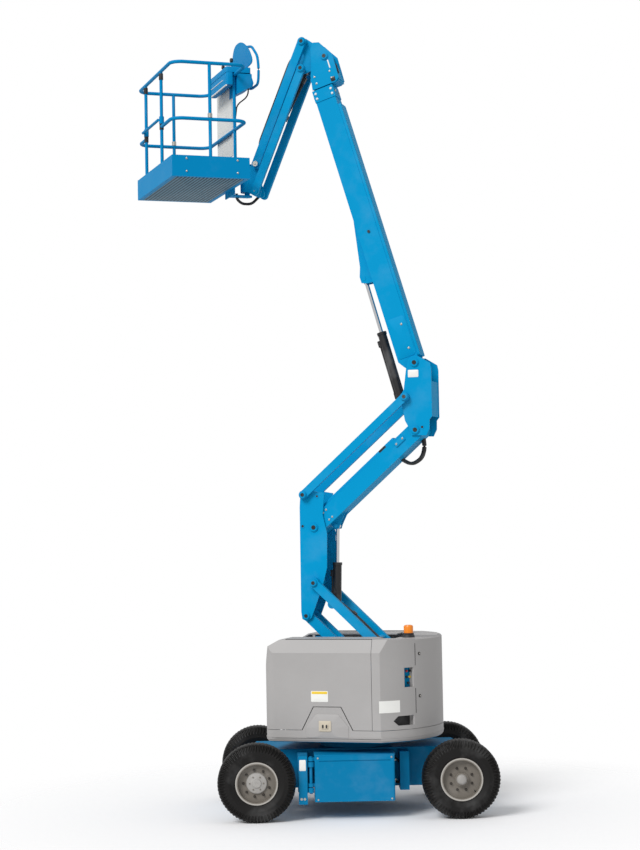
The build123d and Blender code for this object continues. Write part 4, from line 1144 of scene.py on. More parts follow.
@dataclass
class Covers(Fittings):
    """What shows on the covers: labels, tongues, latches, the skirt's lip, bolts and ground controls."""

    name: str = "covers"
    face: float = SIDE_Y
    tail: float = TAIL_RADIUS
    label_at: Flat = (0.131, 1.124)
    tongue_at: Flat = (0.06, 0.835)
    tongue_proud: float = 0.008
    latch_x: float = 0.08
    bolt_angle: float = 151.7
    seam_angle: float = 148.0
    pocket_depth: float = 0.048

    def on_tail(self, angle: float, inset: float, height: float) -> Place:
        """The place of a fitting that looks outwards from the round tail.

        Args:
            angle: its angle about the slewing axis, in degrees.
            inset: how far inside the tail's face its foot lies.
            height: its height.

        Returns:
            The place.
        """
        around = turn("Z", math.radians(angle))
        return UPPER.then(around @ shift(self.tail - inset, 0, height) @ turn("Y", math.pi / 2))

    def labels(self) -> None:
        """Put on the blank labels that the photograph shows."""
        x, z = self.label_at
        white = Facing.LEFT.at(UPPER, (x, self.face, z))
        self.put(plate(0.164, 0.100, 0.001), white, "cover_near", LABEL_WHITE)
        yellow = Facing.LEFT.at(UPPER, (x, self.face + 0.0006, z + 0.034))
        self.put(plate(0.152, 0.024, 0.001), yellow, "cover_near", LABEL_YELLOW)
        bent = band(self.tail - 0.0005, 0.0015, (121.2, 135.4), (0.975, 1.085))
        self.put(bent, UPPER, "turntable", LABEL_WHITE)

    def tongues(self) -> None:
        """The raised panel and the latch on each tongue."""
        corners = [
            (-0.205, -0.09), (0.205, -0.09), (0.205, 0.01), (0.108, 0.125), (-0.108, 0.125), (-0.205, 0.01),
        ]
        panel = fan(sided(np.array(corners), 6), self.tongue_proud, self.tongue_proud)
        x, z = self.tongue_at
        self.pair(panel, UPPER, (x, self.face, z), "turntable", COVER_GREY, math.pi)
        latch = [
            # length, height, thickness, x from the latch's middle, foot outside the panel, z, finish
            (0.118, 0.098, 0.007, 0.0, 0.0, 0.852, LATCH_TAN),
            (0.066, 0.046, 0.006, 0.0, 0.007, 0.850, LATCH_TAN),
            (0.016, 0.034, 0.003, -0.018, 0.013, 0.850, BLACK_PLASTIC),
            (0.016, 0.034, 0.003, 0.018, 0.013, 0.850, BLACK_PLASTIC),
        ]
        for length, height, thick, offset, out, z, finish in latch:
            at = (self.latch_x + offset, self.face + self.tongue_proud + out, z)
            self.pair(plate(length, height, thick), UPPER, at, "turntable", finish)

    def skirt(self) -> None:
        """The skirt's lip, drawn in as it goes down, its ridge, and the trim along the covers' tops."""
        walls = [
            # inset of the outside and of the inside, lower and upper height from the skirt's foot
            (0.0, 0.004, -0.014, 0.002),
            (0.010, 0.022, -0.028, -0.012),
            (-0.004, 0.004, 0.006, 0.014),
        ]
        for outside, inside, low, high in walls:
            lip = wall(deck_plan(outside), deck_plan(inside), SKIRT_LOW + low, SKIRT_LOW + high)
            self.put(lip, UPPER, "turntable", COVER_GREY)
        for side, body in ((1, "cover_near"), (-1, "cover_far")):
            trim = Facing.UP.at(UPPER, (0.05, side * 0.667, COVER_TOP))
            self.put(plate(0.84, 0.014, 0.005, 0.004), trim, body, BLACK_PLASTIC)

    def bolts(self) -> None:
        """Bolts in the tail weight, each on a black washer."""
        for angle in (self.bolt_angle, -self.bolt_angle):
            for height in (1.501, 1.110):
                place = self.on_tail(angle, 0.0008, height)
                self.put(cap(0.016, 0.004), place, "turntable", BLACK_PAINT)
                self.put(nut(0.008), place, "turntable", ZINC)

    def seam(self) -> None:
        """The dark seam between the corner panels and the tail weight."""
        for angle in (self.seam_angle, -self.seam_angle):
            for rise in ((0.955, 1.185), (1.395, 1.600)):
                strip = band(self.tail - 0.003, 0.0042, (angle - 0.2, angle + 0.2), rise)
                self.put(strip, UPPER, "turntable", BLACK_PLASTIC)

    def controls(self) -> None:
        """The ground controls behind the pocket and the dark inside of the slot, a black band that is painted
        shade.
        """
        pocket = band(self.tail - 0.055, 0.008, (139, 150), (1.185, 1.395))
        self.put(pocket, UPPER, "turntable", CHASSIS_BLUE)
        # Painted shade: the black band stands in for the shade inside the slot.
        slot = band(self.tail - 0.06, 0.008, (131, 150), (0.840, 0.955))
        self.put(slot, UPPER, "turntable", BLACK_PLASTIC)
        rows = [
            # angle round the tail, height, finish
            (143.0, 1.345, SWITCH_RED),
            (145.5, 1.345, BLACK_PAINT),
            (143.0, 1.290, BLACK_PAINT),
            (145.5, 1.290, LABEL_YELLOW),
            (144.2, 1.235, BLACK_PAINT),
        ]
        for angle, height, finish in rows:
            place = self.on_tail(angle, self.pocket_depth, height)
            self.put(cap(0.011, 0.014), place, "turntable", finish)

    def gather(self) -> None:
        """Dress the covers."""
        self.labels()
        self.tongues()
        self.skirt()
        self.bolts()
        self.seam()
        self.controls()


@dataclass
class Beacon:
    """The warning lamp: a coned foot with a black neck, and a ribbed amber lens."""

    at: Point = (-0.625, 0.300, 1.6453)
    ribs: int = 18
    neck_top: float = 0.0402

    def lens(self) -> Surface:
        """Turn the lens with its ribs: r(z, a) = r(z) (1 + 0.025 cos(n a)).

        Returns:
            The points and the quads.
        """
        profile = np.array([(0, 0), (0.043, 0), (0.043, 0.060), (0.038, 0.070), (0.026, 0.075), (0, 0.076)])
        angle = np.linspace(0, 2 * np.pi, self.ribs * 4, endpoint=False)
        radius = profile[:, 0:1] * (1 + 0.025 * np.cos(self.ribs * angle))
        points = np.stack([radius * np.cos(angle), radius * np.sin(angle), profile[:, 1:2] + 0 * angle], -1)
        return points.reshape(-1, 3), grid_faces(len(profile), len(angle), True)

    def build(self) -> None:
        """Make the lamp in place of its CAD node."""
        foot = UPPER.then(shift(*self.at))
        profile = [(0, 0), (0.060, 0), (0.054, 0.022), (0.050, 0.026), (0.050, 0.040), (0, 0.040)]
        Mesh().add(spun(profile, 32), foot).build("beacon_base", BLACK_PLASTIC.material(), "turntable")
        lens = Mesh().add(self.lens(), foot.then(shift(0, 0, self.neck_top)))
        piece = lens.build("beacon_lens", AMBER.material(), "turntable")
        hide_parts("beacon")


@dataclass
class Chassis(Fittings):
    """What shows on the chassis: the side boxes' lids, brackets, blank labels, tie rings, bolts and hoses."""

    name: str = "chassis"
    box_x: Flat = (-0.406, 0.333)
    box_y: float = 0.762
    box_top: float = 0.590
    frame_half: float = 0.350
    end_x: float = 1.01

    def boxes(self) -> None:
        """The lid and the corner bolts of each side box."""
        rear, front = self.box_x
        sides = ((-1, Facing.RIGHT, "battery_box_near"), (1, Facing.LEFT, "battery_box_far"))
        for side, facing, body in sides:
            lid = Facing.UP.at(GROUND, ((rear + front) / 2, side * 0.581, self.box_top))
            self.put(plate(front - rear + 0.006, 0.366, 0.007, 0.02), lid, body, CHASSIS_BLUE)
            for x in (rear + 0.03, front - 0.03):
                for z in (self.box_top - 0.02, 0.19):
                    self.put(nut(0.007), facing.at(GROUND, (x, side * self.box_y, z)), body, ZINC)

    def frame(self) -> None:
        """Brackets, blank labels and bolts on the frame's sides, under the axles and on the steered axle."""
        self.pair(plate(0.082, 0.440, 0.036, 0.006), GROUND, (-0.514, 0.726, 0.370), "chassis", CHASSIS_BLUE)
        self.pair(plate(0.060, 0.100, 0.001), GROUND, (-0.517, self.box_y, 0.508), "chassis", LABEL_WHITE)
        for x in (-0.90, -0.80, 0.80, 0.90):
            self.pair(nut(0.013), GROUND, (x, self.frame_half, 0.50), "chassis", ZINC)
        for x in (-0.53, -0.50):
            self.pair(nut(0.010), GROUND, (x, self.box_y, 0.20), "chassis", ZINC)
        for side in (-1, 1):
            for axle in (-WHEELBASE / 2, WHEELBASE / 2):
                for x in (axle - 0.05, axle + 0.05):
                    self.put(nut(0.012), Facing.DOWN.at(GROUND, (x, side * 0.33, 0.29)), "chassis", ZINC)
            for x in (0.90, 0.98):
                self.put(cap(0.020, 0.006), Facing.UP.at(GROUND, (x, side * 0.60, 0.4661)), "chassis", ZINC)

    def ends(self) -> None:
        """Tie rings and bolts on the frame's two ends."""
        ring = spun([(0.018, 0), (0.032, 0), (0.032, 0.006), (0.028, 0.009), (0.018, 0.009), (0.018, 0)])
        for x, facing in ((-self.end_x, Facing.BACK), (self.end_x, Facing.AHEAD)):
            for y in (-0.25, 0.25):
                self.put(ring, facing.at(GROUND, (x, y, 0.51)), "chassis", CHASSIS_BLUE)
            for y in (-0.30, -0.1, 0.1, 0.30):
                self.put(nut(0.010), facing.at(GROUND, (x, y, 0.545)), "chassis", ZINC)

    def hoses(self) -> None:
        """The hoses of the hub motors and of the steering cylinder, and a loop on the frame's near side."""
        for side in (-1, 1):
            for lift in (0.0, 0.03):
                motor = [
                    (-0.60, side * 0.30, 0.42),
                    (-0.74, side * 0.38, 0.47 + lift),
                    (-0.80, side * 0.50, 0.46 + lift),
                    (-0.86, side * 0.56, 0.43 + lift),
                ]
                self.put(tube(eased(motor, 0.06), 0.009), GROUND, "chassis", HOSE_RUBBER)
            steer = [
                (0.62, side * 0.20, 0.44),
                (0.70, side * 0.18, 0.47),
                (0.80, side * 0.17, 0.44),
                (0.81, side * 0.165, 0.395),
            ]
            self.put(tube(eased(steer, 0.04), 0.007), GROUND, "chassis", HOSE_RUBBER)
        ends = (0.50, 0.30)
        loop = [
            (0.36, -0.352, ends[0]), (0.36, -0.40, 0.52), (0.43, -0.42, 0.45),
            (0.44, -0.41, 0.33), (0.38, -0.39, 0.28), (0.36, -0.352, ends[1]),
        ]
        self.put(tube(eased(loop, 0.06), 0.010), GROUND, "chassis", HOSE_RUBBER)
        for z in ends:
            self.put(nut(0.014), Facing.RIGHT.at(GROUND, (0.36, -self.frame_half, z)), "chassis", ZINC)

    def gather(self) -> None:
        """Dress the chassis."""
        self.boxes()
        self.frame()
        self.ends()
        self.hoses()


@dataclass
class WheelDetails(Fittings):
    """The hubs: a ring at each rim's edge painted light as a highlight, the hub with its cap or bolts, and a
    valve.
    """

    name: str = "hubs"
    face: float = -RIM_FACE
    steer_face: float = 0.046
    drive_hub: float = 0.0255
    bolt_ring: float = 0.064
    bolt_count: int = 6
    valve_at: Flat = (0.12, -0.11)

    def drive(self, facing: Facing, x: float, y: float, body: str) -> None:
        """Dress a driven wheel's hub.

        Args:
            facing: the way the wheel's outside looks.
            x: the wheel's middle.
            y: the rim's face.
            body: the wheel's body.
        """
        side = math.copysign(1, y)
        hub = [
            (0, self.drive_hub), (0.078, self.drive_hub), (0.090, 0.022), (0.097, 0.012), (0.098, 0), (0, 0),
        ]
        self.put(spun(hub, 48), facing.at(GROUND, (x, y, TYRE_RADIUS)), body, HUB_GREY)
        front = y + side * self.drive_hub
        self.put(cap(0.040, 0.006), facing.at(GROUND, (x, front, TYRE_RADIUS)), body, HUB_GREY)
        for index in range(self.bolt_count):
            bolt_x, bolt_z = reach((x, TYRE_RADIUS), math.tau * index / self.bolt_count, self.bolt_ring)
            self.put(nut(0.006), facing.at(GROUND, (bolt_x, front, bolt_z)), body, RIM_GREY)

    def gather(self) -> None:
        """Dress each rim's outer face."""
        # The lip ring wears the painted highlight of the rim's edge.
        lip = [(0.182, 0.0575), (0.185, 0.0605), (0.193, 0.0605), (0.196, 0.0575), (0.182, 0.0575)]
        hub = [(0, 0.024), (0.030, 0.024), (0.042, 0.017), (0.048, 0.004), (0.049, 0), (0, 0)]
        valve = [(0, 0.030), (0.004, 0.030), (0.0045, 0.012), (0.007, 0.010), (0.007, 0), (0, 0)]
        for axle, x in (("drive", -WHEELBASE / 2), ("steer", WHEELBASE / 2)):
            for side, sign, facing in (("near", -1, Facing.RIGHT), ("far", 1, Facing.LEFT)):
                body = f"wheel_{axle}_{side}"
                y = sign * (TRACK / 2 + self.face)
                self.put(spun(lip, 64), facing.at(GROUND, (x, y, TYRE_RADIUS)), body, RIM_EDGE_HIGHLIGHT)
                if axle == "drive":
                    self.drive(facing, x, y, body)
                else:
                    place = facing.at(GROUND, (x, y + sign * self.steer_face, TYRE_RADIUS))
                    self.put(spun(hub), place, body, HUB_GREY)
                place = facing.at(GROUND, (x + self.valve_at[0], y, TYRE_RADIUS + self.valve_at[1]))
                self.put(spun(valve, 10), place, body, BLACK_PLASTIC)


@dataclass
class Towers(Fittings):
    """What shows on the arms and towers: ringed holes, blank labels, bolts, hoses and clamps."""

    name: str = "towers"
    plate_y: float = 0.155
    inside_y: float = -0.139

    def plates(self) -> None:
        """Ringed holes and blank labels on the towers' plates, outside and inside; each hole is a black disc,
        painted shade of its inside.
        """
        holes = [
            # body, x, z, radius of the hole
            ("mid_tower", 0.441, 2.700, 0.015),
            ("mid_tower", 0.292, 2.986, 0.013),
            ("top_tower", -0.763, 3.621, 0.014),
            ("mid_tower", 0.306, 2.096, 0.010),
        ]
        for body, x, z, radius in holes:
            ring = [
                (0.6 * radius, 0.001), (radius, 0.003), (1.35 * radius, 0.003), (1.5 * radius, 0),
                (0, 0), (0, 0.001), (0.6 * radius, 0.001),
            ]
            self.pair(spun(ring), UPPER, (x, self.plate_y, z), body, BOOM_BLUE)
            # Painted shade: the black disc stands in for the dark inside of the hole.
            self.pair(cap(radius, 0.0022), UPPER, (x, self.plate_y, z), body, BLACK_PAINT)
        self.pair(plate(0.102, 0.070, 0.001), UPPER, (-0.685, self.plate_y, 4.133), "top_tower", LABEL_WHITE)
        lower = Facing.LEFT.at(UPPER, (0.262, self.inside_y, 2.50))
        self.put(plate(0.060, 0.150, 0.001), lower, "mid_tower", BOOM_BLUE)
        upper = Facing.LEFT.at(UPPER, (-0.745, self.inside_y, 3.98))
        self.put(plate(0.040, 0.130, 0.001), upper, "top_tower", LABEL_WHITE)

    def riser(self) -> None:
        """The dark plates, painted shade where a small window in each of the riser's sides shows dark, the
        pads and the bolts on the riser's sides.
        """
        # Painted shade: a black plate where the small window in the riser's side shows dark.
        self.pair(plate(0.085, 0.026, 0.002), RISER, (1.00, 0.110, -0.094), "upper_riser", BLACK_PAINT)
        self.pair(plate(0.12, 0.05, 0.012), RISER, (1.18, 0.134, -0.03), "upper_riser", BOOM_BLUE)
        for x in (1.14, 1.22):
            self.pair(nut(0.008), RISER, (x, 0.146, -0.03), "upper_riser", ZINC)
        for x in (0.16, 0.20):
            for z in (-0.045, 0.045):
                self.pair(nut(0.008), RISER, (x, 0.134, z), "upper_riser", ZINC)

    def hoses(self) -> None:
        """Hoses along the lower arms and both towers, with clamps, and the riser's lower band."""
        run = [(0.16, -0.02), (0.42, 0.03), (0.9, 0.035), (1.22, 0.0)]
        self.bundle(LOWER, "lower_arms", 0.011, 0.15, (0.075, 0.098, 0.121), run)
        for x in (0.42, 0.90):
            clamp = Facing.UP.at(LOWER, (x, 0.098, 0.044))
            self.put(plate(0.05, 0.074, 0.006), clamp, "lower_arms", BLACK_PLASTIC)
        run = [(0.40, 2.16), (0.44, 2.35), (0.44, 2.85), (0.36, 2.95)]
        self.bundle(UPPER, "mid_tower", 0.010, 0.08, (-0.06, -0.03), run)
        under = Facing.DOWN.at(RISER, (0.65, 0, -0.080))
        self.put(plate(1.00, 0.220, 0.029, 0.02), under, "upper_riser", BOOM_BLUE)
        run = [(-0.76, 3.66), (-0.77, 3.80), (-0.76, 4.02), (-0.73, 4.12)]
        self.bundle(UPPER, "top_tower", 0.010, 0.06, (-0.10, -0.07, -0.04), run)

    def gather(self) -> None:
        """Dress the arms and towers."""
        self.plates()
        self.riser()
        self.hoses()


@dataclass
class HoseLoops(Fittings):
    """The black hose loops that hang at the top tower's foot and under the platform's rotator."""

    name: str = "rotator_hose"
    radius: float = 0.017
    rotator_radius: float = 0.014

    def gather(self) -> None:
        """Make the loops: the two at the top tower's foot ride on no body, the one under the rotator rides on
        the platform carrier.
        """
        run = [(-0.44, 3.40), (-0.50, 3.325), (-0.60, 3.272), (-0.70, 3.330), (-0.73, 3.43), (-0.72, 3.52)]
        for index, y in enumerate((-0.09, -0.05)):
            path = [(x, y, z) for x, z in run]
            loop = Mesh().add(tube(eased(path, 0.06), self.radius), UPPER)
            piece = loop.build(f"tower_hose_{index}", HOSE_RUBBER.material(), None)
            tuple(UPPER.point(path[0]))
            tuple(UPPER.point(path[-1]))
            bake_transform(piece)
        path = [
            (0.10, -0.03, 5.995), (0.10, -0.03, 5.94), (0.04, -0.04, 5.895),
            (-0.06, -0.05, 5.90), (-0.13, -0.05, 5.97),
        ]
        self.put(tube(eased(path, 0.04), self.rotator_radius), PLATFORM, "platform_carrier", HOSE_RUBBER)


@dataclass
class Booms(Fittings):
    """What shows on the boom, its head and the jib."""

    name: str = "booms"
    half: float = 0.100
    head_half: float = 0.106

    def boom(self) -> None:
        """The boom's doublers, knobs, nuts, pads, blank stripes and the tray on its top."""
        half, head = self.half, self.head_half
        self.pair(plate(0.40, 0.180, 0.004, 0.03), BOOM, (0.28, half, -0.060), "boom_outer", BOOM_BLUE)
        self.pair(cap(0.014, 0.012), BOOM, (1.36, half, -0.05), "boom_outer", BLACK_PAINT)
        nuts = [
            # nut radius, x of each, y, z of each, body, finish
            (0.009, (0.16, 0.40), half + 0.004, (-0.02,), "boom_outer", ZINC),
            (0.010, (2.775, 2.825), head, (-0.14, 0.02), "boom_outer", LABEL_WHITE),
            (0.008, (2.92, 2.99), head, (-0.10, 0.06), "boom_inner", ZINC),
        ]
        for radius, places, y, heights, body, finish in nuts:
            for x in places:
                for z in heights:
                    self.pair(nut(radius), BOOM, (x, y, z), body, finish)
        self.pair(plate(0.085, 0.012, 0.002, 0.005), BOOM, (3.06, head, 0.075), "boom_inner", LABEL_WHITE)
        self.pair(plate(0.045, 0.045, 0.003, 0.006), BOOM, (2.905, head, 0.07), "boom_inner", BLACK_PAINT)
        for z, facing in ((0.044, Facing.UP), (-0.168, Facing.DOWN)):
            for y in (-0.06, 0.06):
                self.put(nut(0.010), facing.at(BOOM, (2.80, y, z)), "boom_outer", ZINC)
        guide = Facing.UP.at(BOOM, (3.00, 0.06, 0.124))
        self.put(plate(0.10, 0.016, 0.014, 0.004), guide, "boom_inner", BLACK_PLASTIC)
        tray = Facing.UP.at(BOOM, (1.36, 0, 0.038))
        self.put(plate(2.60, 0.190, 0.028, 0.02), tray, "boom_outer", BOOM_BLUE)

    def jib(self) -> None:
        """The hoses along the jib and their clamps."""
        run = [(0.14, 0.02), (0.22, 0.052), (1.06, 0.052), (1.13, 0.02)]
        self.bundle(JIB, "jib_arms", 0.008, 0.05, (-0.092, -0.070, 0.070, 0.092), run)
        for x in (0.35, 0.65, 0.95):
            self.put(plate(0.022, 0.10, 0.012, 0.003), Facing.UP.at(JIB, (x, 0, 0.052)), "jib_arms", ZINC)

    def gather(self) -> None:
        """Dress the boom and jib."""
        self.boom()
        self.jib()


@dataclass
class Platforms(Fittings):
    """What shows on the platform: perforated floor, console, levers, hood, guard loop, clamps and pouch."""

    name: str = "platform"
    floor_x: Flat = (0.180, 0.940)
    floor_z: float = 6.010
    rail_top: float = RAIL_TOP
    half: float = 0.710
    console_y: float = 0.010
    console_width: float = 0.640
    panel_y: float = 0.050
    pouch_y: float = -0.160
    pouch_half: float = 0.265
    pouch_top: float = 7.045
    pouch_drop: float = 0.700

    def floor(self) -> None:
        """The perforated floor plate, seen from above and below."""
        length, width = self.floor_x[1] - self.floor_x[0], 2 * self.half
        middle = sum(self.floor_x) / 2
        under = Facing.DOWN.at(PLATFORM, (middle, 0, self.floor_z))
        above = Facing.UP.at(PLATFORM, (middle, 0, self.floor_z + 0.030))
        mesh = Mesh()
        mesh.add(plate(length - 0.09, width - 0.09, 0.003), under)
        mesh.add(plate(length - 0.03, width - 0.03, 0.002), above)
        mesh.build("platform_perforated_floor", perforated("perforated floor plate"), "platform")

    def console(self) -> None:
        """The console's body over the inner rail and its front panel."""
        z = self.rail_top
        boxes = [
            # middle x, lowest z, length, height
            (0.165, z + 0.0005, 0.250, 0.055),
            (0.252, z - 0.120, 0.070, 0.120),
        ]
        for x, low, length, height in boxes:
            place = Facing.UP.at(PLATFORM, (x, self.console_y, low))
            self.put(plate(length, self.console_width, height, 0.02), place, "platform", PLATFORM_BLUE)

    def levers(self) -> None:
        """Two levers with their knobs and boots, eight switches and the emergency stop."""
        deck = self.rail_top + 0.0555
        knob = [(0, 0.045), (0.012, 0.042), (0.017, 0.03), (0.018, 0.012), (0.010, 0), (0, 0)]
        boot = [(0.007, 0.03), (0.012, 0.024), (0.016, 0.014), (0.026, 0.006), (0.030, 0), (0.007, 0)]
        for y in (-0.20, 0.10):
            stick = [(0.16, y, deck), (0.165, y, deck + 0.05), (0.17, y, deck + 0.100)]
            self.put(tube(eased(stick, 0.02), 0.007), PLATFORM, "platform", BLACK_PLASTIC)
            self.put(spun(knob), Facing.UP.at(PLATFORM, (0.17, y, deck + 0.095)), "platform", BLACK_PLASTIC)
            self.put(spun(boot), Facing.UP.at(PLATFORM, (0.16, y, deck)), "platform", BLACK_PLASTIC)
        for index in range(8):
            at = (0.10 + 0.04 * (index % 2), -0.06 + 0.035 * (index // 2), deck)
            self.put(cap(0.008, 0.012), Facing.UP.at(PLATFORM, at), "platform", ZINC)
        self.put(cap(0.022, 0.028), Facing.UP.at(PLATFORM, (0.13, 0.26, deck)), "platform", SWITCH_RED)

    def hood(self) -> None:
        """The console's curved hood and sloping back panel, with the panel's bolts."""
        hood_z, panel_z = 7.340, 7.110
        corners = [
            # z and y
            (7.215, -0.300), (7.430, -0.300), (7.520, -0.200), (7.510, 0.020),
            (7.400, 0.250), (7.215, 0.415), (7.200, 0.211), (7.215, -0.050),
        ]
        outline = eased(corners, 0.12) - (hood_z, self.panel_y)
        place = Facing.BACK.at(PLATFORM, (0.045, self.panel_y, hood_z))
        self.put(fan(outline, 0.012, 0.006), place, "platform", PLATFORM_BLUE)
        corners = [
            # z and y
            (7.270, -0.310), (7.195, 0.211), (7.020, 0.355), (6.985, 0.320), (7.010, 0.000), (7.070, -0.310),
        ]
        outline = sided(np.array(corners) - (panel_z, self.panel_y), 5)
        place = Facing.BACK.at(PLATFORM, (0.0295, self.panel_y, panel_z))
        self.put(fan(outline, 0.008, 0.004), place, "platform", PLATFORM_BLUE)
        for y in (-0.24, 0.20):
            self.put(nut(0.007), Facing.BACK.at(PLATFORM, (0.0215, y, 7.13)), "platform", ZINC)

    def guard(self) -> None:
        """The guard loop round the console, the bright lines along its front and its cable; the lower,
        thicker line is a painted highlight along the console's lower front edge.
        """
        z = self.rail_top
        loop = [
            (0.030, 0.08, z - 0.080), (-0.035, 0.08, z - 0.100), (-0.035, 0.32, z - 0.100),
            (-0.035, 0.345, z + 0.040), (-0.035, 0.310, z + 0.180), (-0.035, 0.12, z + 0.320),
            (-0.030, -0.20, z + 0.385), (0.040, -0.21, z + 0.370),
        ]
        self.put(tube(eased(loop, 0.06), 0.013, 14), PLATFORM, "platform", PLATFORM_BLUE)
        # The first line is a painted highlight on the console's lower front edge; the second is a thin white
        # line on the panel.
        lines = [
            # x, y of each end, z, radius
            (0.2885, (-0.300, 0.320), z - 0.128, 0.008),
            (0.288, (-0.240, 0.200), z - 0.055, 0.004),
        ]
        for x, ends, height, radius in lines:
            line = np.array([(x, y, height) for y in ends])
            self.put(tube(line, radius), PLATFORM, "platform", LABEL_WHITE)
        cable = [
            (0.06, 0.31, z - 0.12), (0.06, 0.28, z - 0.22), (0.150, 0.20, z - 0.29), (0.182, 0.262, z - 0.42),
        ]
        self.put(tube(eased(cable, 0.05), 0.007), PLATFORM, "platform", HOSE_RUBBER)

    def rails(self) -> None:
        """Clamps, collars and bolts on the rails and posts."""
        clamp = spun([(0.0162, -0.03), (0.021, -0.03), (0.021, 0.03), (0.0162, 0.03)], 20)
        collar = spun([(0.0172, -0.02), (0.022, -0.02), (0.022, 0.02), (0.0172, 0.02)], 20)
        for y in (-0.376, 0.256):
            for z in (6.565, 7.05):
                self.put(clamp, PLATFORM.then(shift(0.923, y, z)), "platform", BLACK_PLASTIC)
        for y in (-0.693, 0.693):
            self.put(collar, PLATFORM.then(shift(0.56, y, 6.60)), "platform", ZINC)
        for x in (0.30, 0.80):
            for z in (6.06, 6.18):
                self.pair(nut(0.008), PLATFORM, (x, self.half, z), "platform", ZINC)

    def pouch(self) -> None:
        """The soft document pouch that hangs between the inner rails, with its flap and straps.

        Its front is p(u, v) = (x - puff, y + half v, top - drop u), where the puff is
        3 cos(pi v / 2) sin(pi u) millimetres with a slow wave, and its back is flat.
        """
        columns, rows = 16, 20
        v, u = np.meshgrid(np.linspace(-1, 1, columns), np.linspace(0, 1, rows))
        puff = 0.003 * np.cos(np.pi * v / 2) * np.sin(np.pi * u) + 0.0012 * np.sin(9 * u + 4 * v)
        across, height = self.pouch_y + self.pouch_half * v, self.pouch_top - self.pouch_drop * u
        front = np.stack([0.166 - puff, across, height], -1)
        rear = np.stack([0.1775 + 0 * puff, across, height], -1)
        sheet = np.concatenate([front, rear[:, ::-1]], axis=1)
        first = sheet[:1].mean(axis=1, keepdims=True).repeat(2 * columns, axis=1)
        last = sheet[-1:].mean(axis=1, keepdims=True).repeat(2 * columns, axis=1)
        points = np.concatenate([first, sheet, last])
        faces = grid_faces(len(points), 2 * columns, True)
        self.put((points.reshape(-1, 3), faces), PLATFORM, "platform", POUCH_WHITE)
        for y in (-0.34, 0.02):
            strap = Facing.BACK.at(PLATFORM, (0.1625, y, 6.84))
            self.put(plate(0.40, 0.022, 0.002, 0.004), strap, "platform", COVER_GREY)
        box = Facing.BACK.at(PLATFORM, (0.1655, -0.235, 6.43), math.pi / 2)
        self.put(plate(0.150, 0.230, 0.004, 0.02), box, "platform", BLACK_PLASTIC)

    def gather(self) -> None:
        """Dress the platform."""
        self.floor()
        self.console()
        self.levers()
        self.hood()
        self.guard()
        self.rails()
        self.pouch()


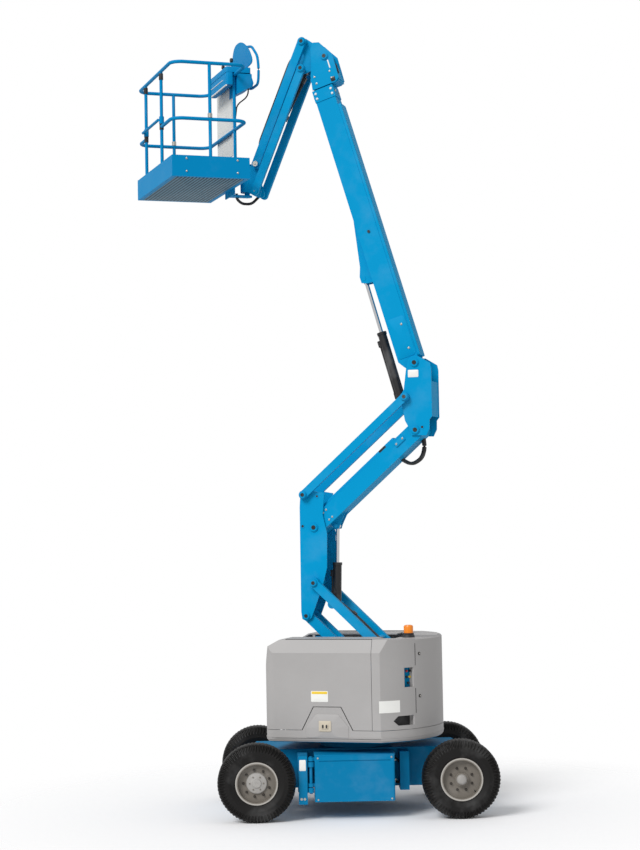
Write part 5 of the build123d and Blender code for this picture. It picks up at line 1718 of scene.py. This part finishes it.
@dataclass
class Stage:
    """The floor, light and camera."""

    lens_pixels: float = 1900.0
    picture_width: int = 640
    sensor: float = 36.0
    eye: Point = (-0.691, -18.356, 2.763)
    yaw: float = math.radians(-1.275)
    pitch: float = math.radians(2.845)
    roll: float = math.radians(-1.039)
    sky: float = 0.62
    key: float = 2.0
    key_angle: float = math.radians(25)
    key_tilt: float = math.radians(52)
    key_turn: float = math.radians(-38)
    floor_half: float = 8.0
    fade_from: float = 1.6
    fade_to: float = 4.2

    def camera(self) -> None:
        """Set up the camera at the photograph's place and angle."""
        cy, sy = math.cos(self.yaw), math.sin(self.yaw)
        cp, sp = math.cos(self.pitch), math.sin(self.pitch)
        ahead = Vector((-sy * cp, cy * cp, sp))
        right = Vector((cy, sy, 0))
        up = Vector((sy * sp, -cy * sp, cp))
        cr, sr = math.cos(self.roll), math.sin(self.roll)
        right, up = cr * right + sr * up, cr * up - sr * right
        data = bpy.data.cameras.new("view")
        data.lens = self.lens_pixels / self.picture_width * self.sensor
        data.sensor_width = self.sensor
        data.sensor_fit = "HORIZONTAL"
        data.clip_end = 200
        eye = bpy.data.objects.new("view", data)
        basis = Matrix((right, up, -ahead)).transposed().to_4x4()
        eye.matrix_world = Matrix.Translation(self.eye) @ basis
        bpy.context.scene.collection.objects.link(eye)
        bpy.context.scene.camera = eye

    def floor(self) -> None:
        """Lay a pale floor that fades out into the background."""
        points = self.floor_half * np.array([(-1, -1, 0), (1, -1, 0), (1, 1, 0), (-1, 1, 0)])
        data = bpy.data.meshes.new("floor")
        data.from_pydata(points, [], [(0, 1, 2, 3)])
        made, shader, unused = blank("floor")
        made.node_tree.nodes.remove(unused)
        pale = shader.add("ShaderNodeBsdfDiffuse", Color=(0.93, 0.93, 0.94, 1.0))
        clear = shader.add("ShaderNodeBsdfTransparent")
        place = shader.add("ShaderNodeTexCoord").outputs["Object"]
        length = shader.add("ShaderNodeVectorMath", operation="LENGTH")
        shader.join(place, length.inputs[0])
        fade = shader.add("ShaderNodeMapRange", From_Min=self.fade_from, From_Max=self.fade_to)
        shader.join(length.outputs["Value"], fade.inputs["Value"])
        blend = shader.add("ShaderNodeMixShader")
        shader.join(fade.outputs["Result"], blend.inputs[0])
        shader.join(pale.outputs[0], blend.inputs[1])
        shader.join(clear.outputs[0], blend.inputs[2])
        shader.join(blend.outputs[0], made.node_tree.nodes["Material Output"].inputs["Surface"])
        data.materials.append(made)
        ground = bpy.data.objects.new("floor", data)
        bpy.context.scene.collection.objects.link(ground)

    def light(self) -> None:
        """Light the object with an even sky and one soft key lamp."""
        world = bpy.data.worlds.new("studio")
        bpy.context.scene.world = world
        world.use_nodes = True
        shader = Shader(world.node_tree)
        seen = shader.add("ShaderNodeBackground", Color=(1.0, 1.0, 1.0, 1.0), Strength=1.0)
        lit = shader.add("ShaderNodeBackground", Color=(1.0, 1.0, 1.0, 1.0), Strength=self.sky)
        path = shader.add("ShaderNodeLightPath")
        blend = shader.add("ShaderNodeMixShader")
        clear = shader.math("MAXIMUM", path.outputs["Is Camera Ray"], path.outputs["Is Transmission Ray"])
        shader.join(clear, blend.inputs[0])
        shader.join(lit.outputs[0], blend.inputs[1])
        shader.join(seen.outputs[0], blend.inputs[2])
        shader.join(blend.outputs[0], world.node_tree.nodes["World Output"].inputs["Surface"])
        lamp = bpy.data.lights.new("key", "SUN")
        lamp.energy = self.key
        lamp.angle = self.key_angle
        sun = bpy.data.objects.new("key", lamp)
        sun.rotation_euler = (self.key_tilt, 0, self.key_turn)
        bpy.context.scene.collection.objects.link(sun)

    def build(self) -> None:
        """Set the whole stage."""
        self.camera()
        self.floor()
        self.light()
        bpy.context.scene.view_settings.view_transform = "Standard"


def main() -> None:
    """Dress the frame, add each sub-assembly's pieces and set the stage."""
    logging.basicConfig(level=logging.INFO, format="%(message)s")
    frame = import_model()
    Frame(frame).dress()
    Wheels().build()
    for kind in (WheelDetails, Chassis, Covers, Beacon, PinCaps, Towers, HoseLoops, Booms, Platforms):
        kind().build()
    Stage().build()


if __name__ == "__main__":
    main()
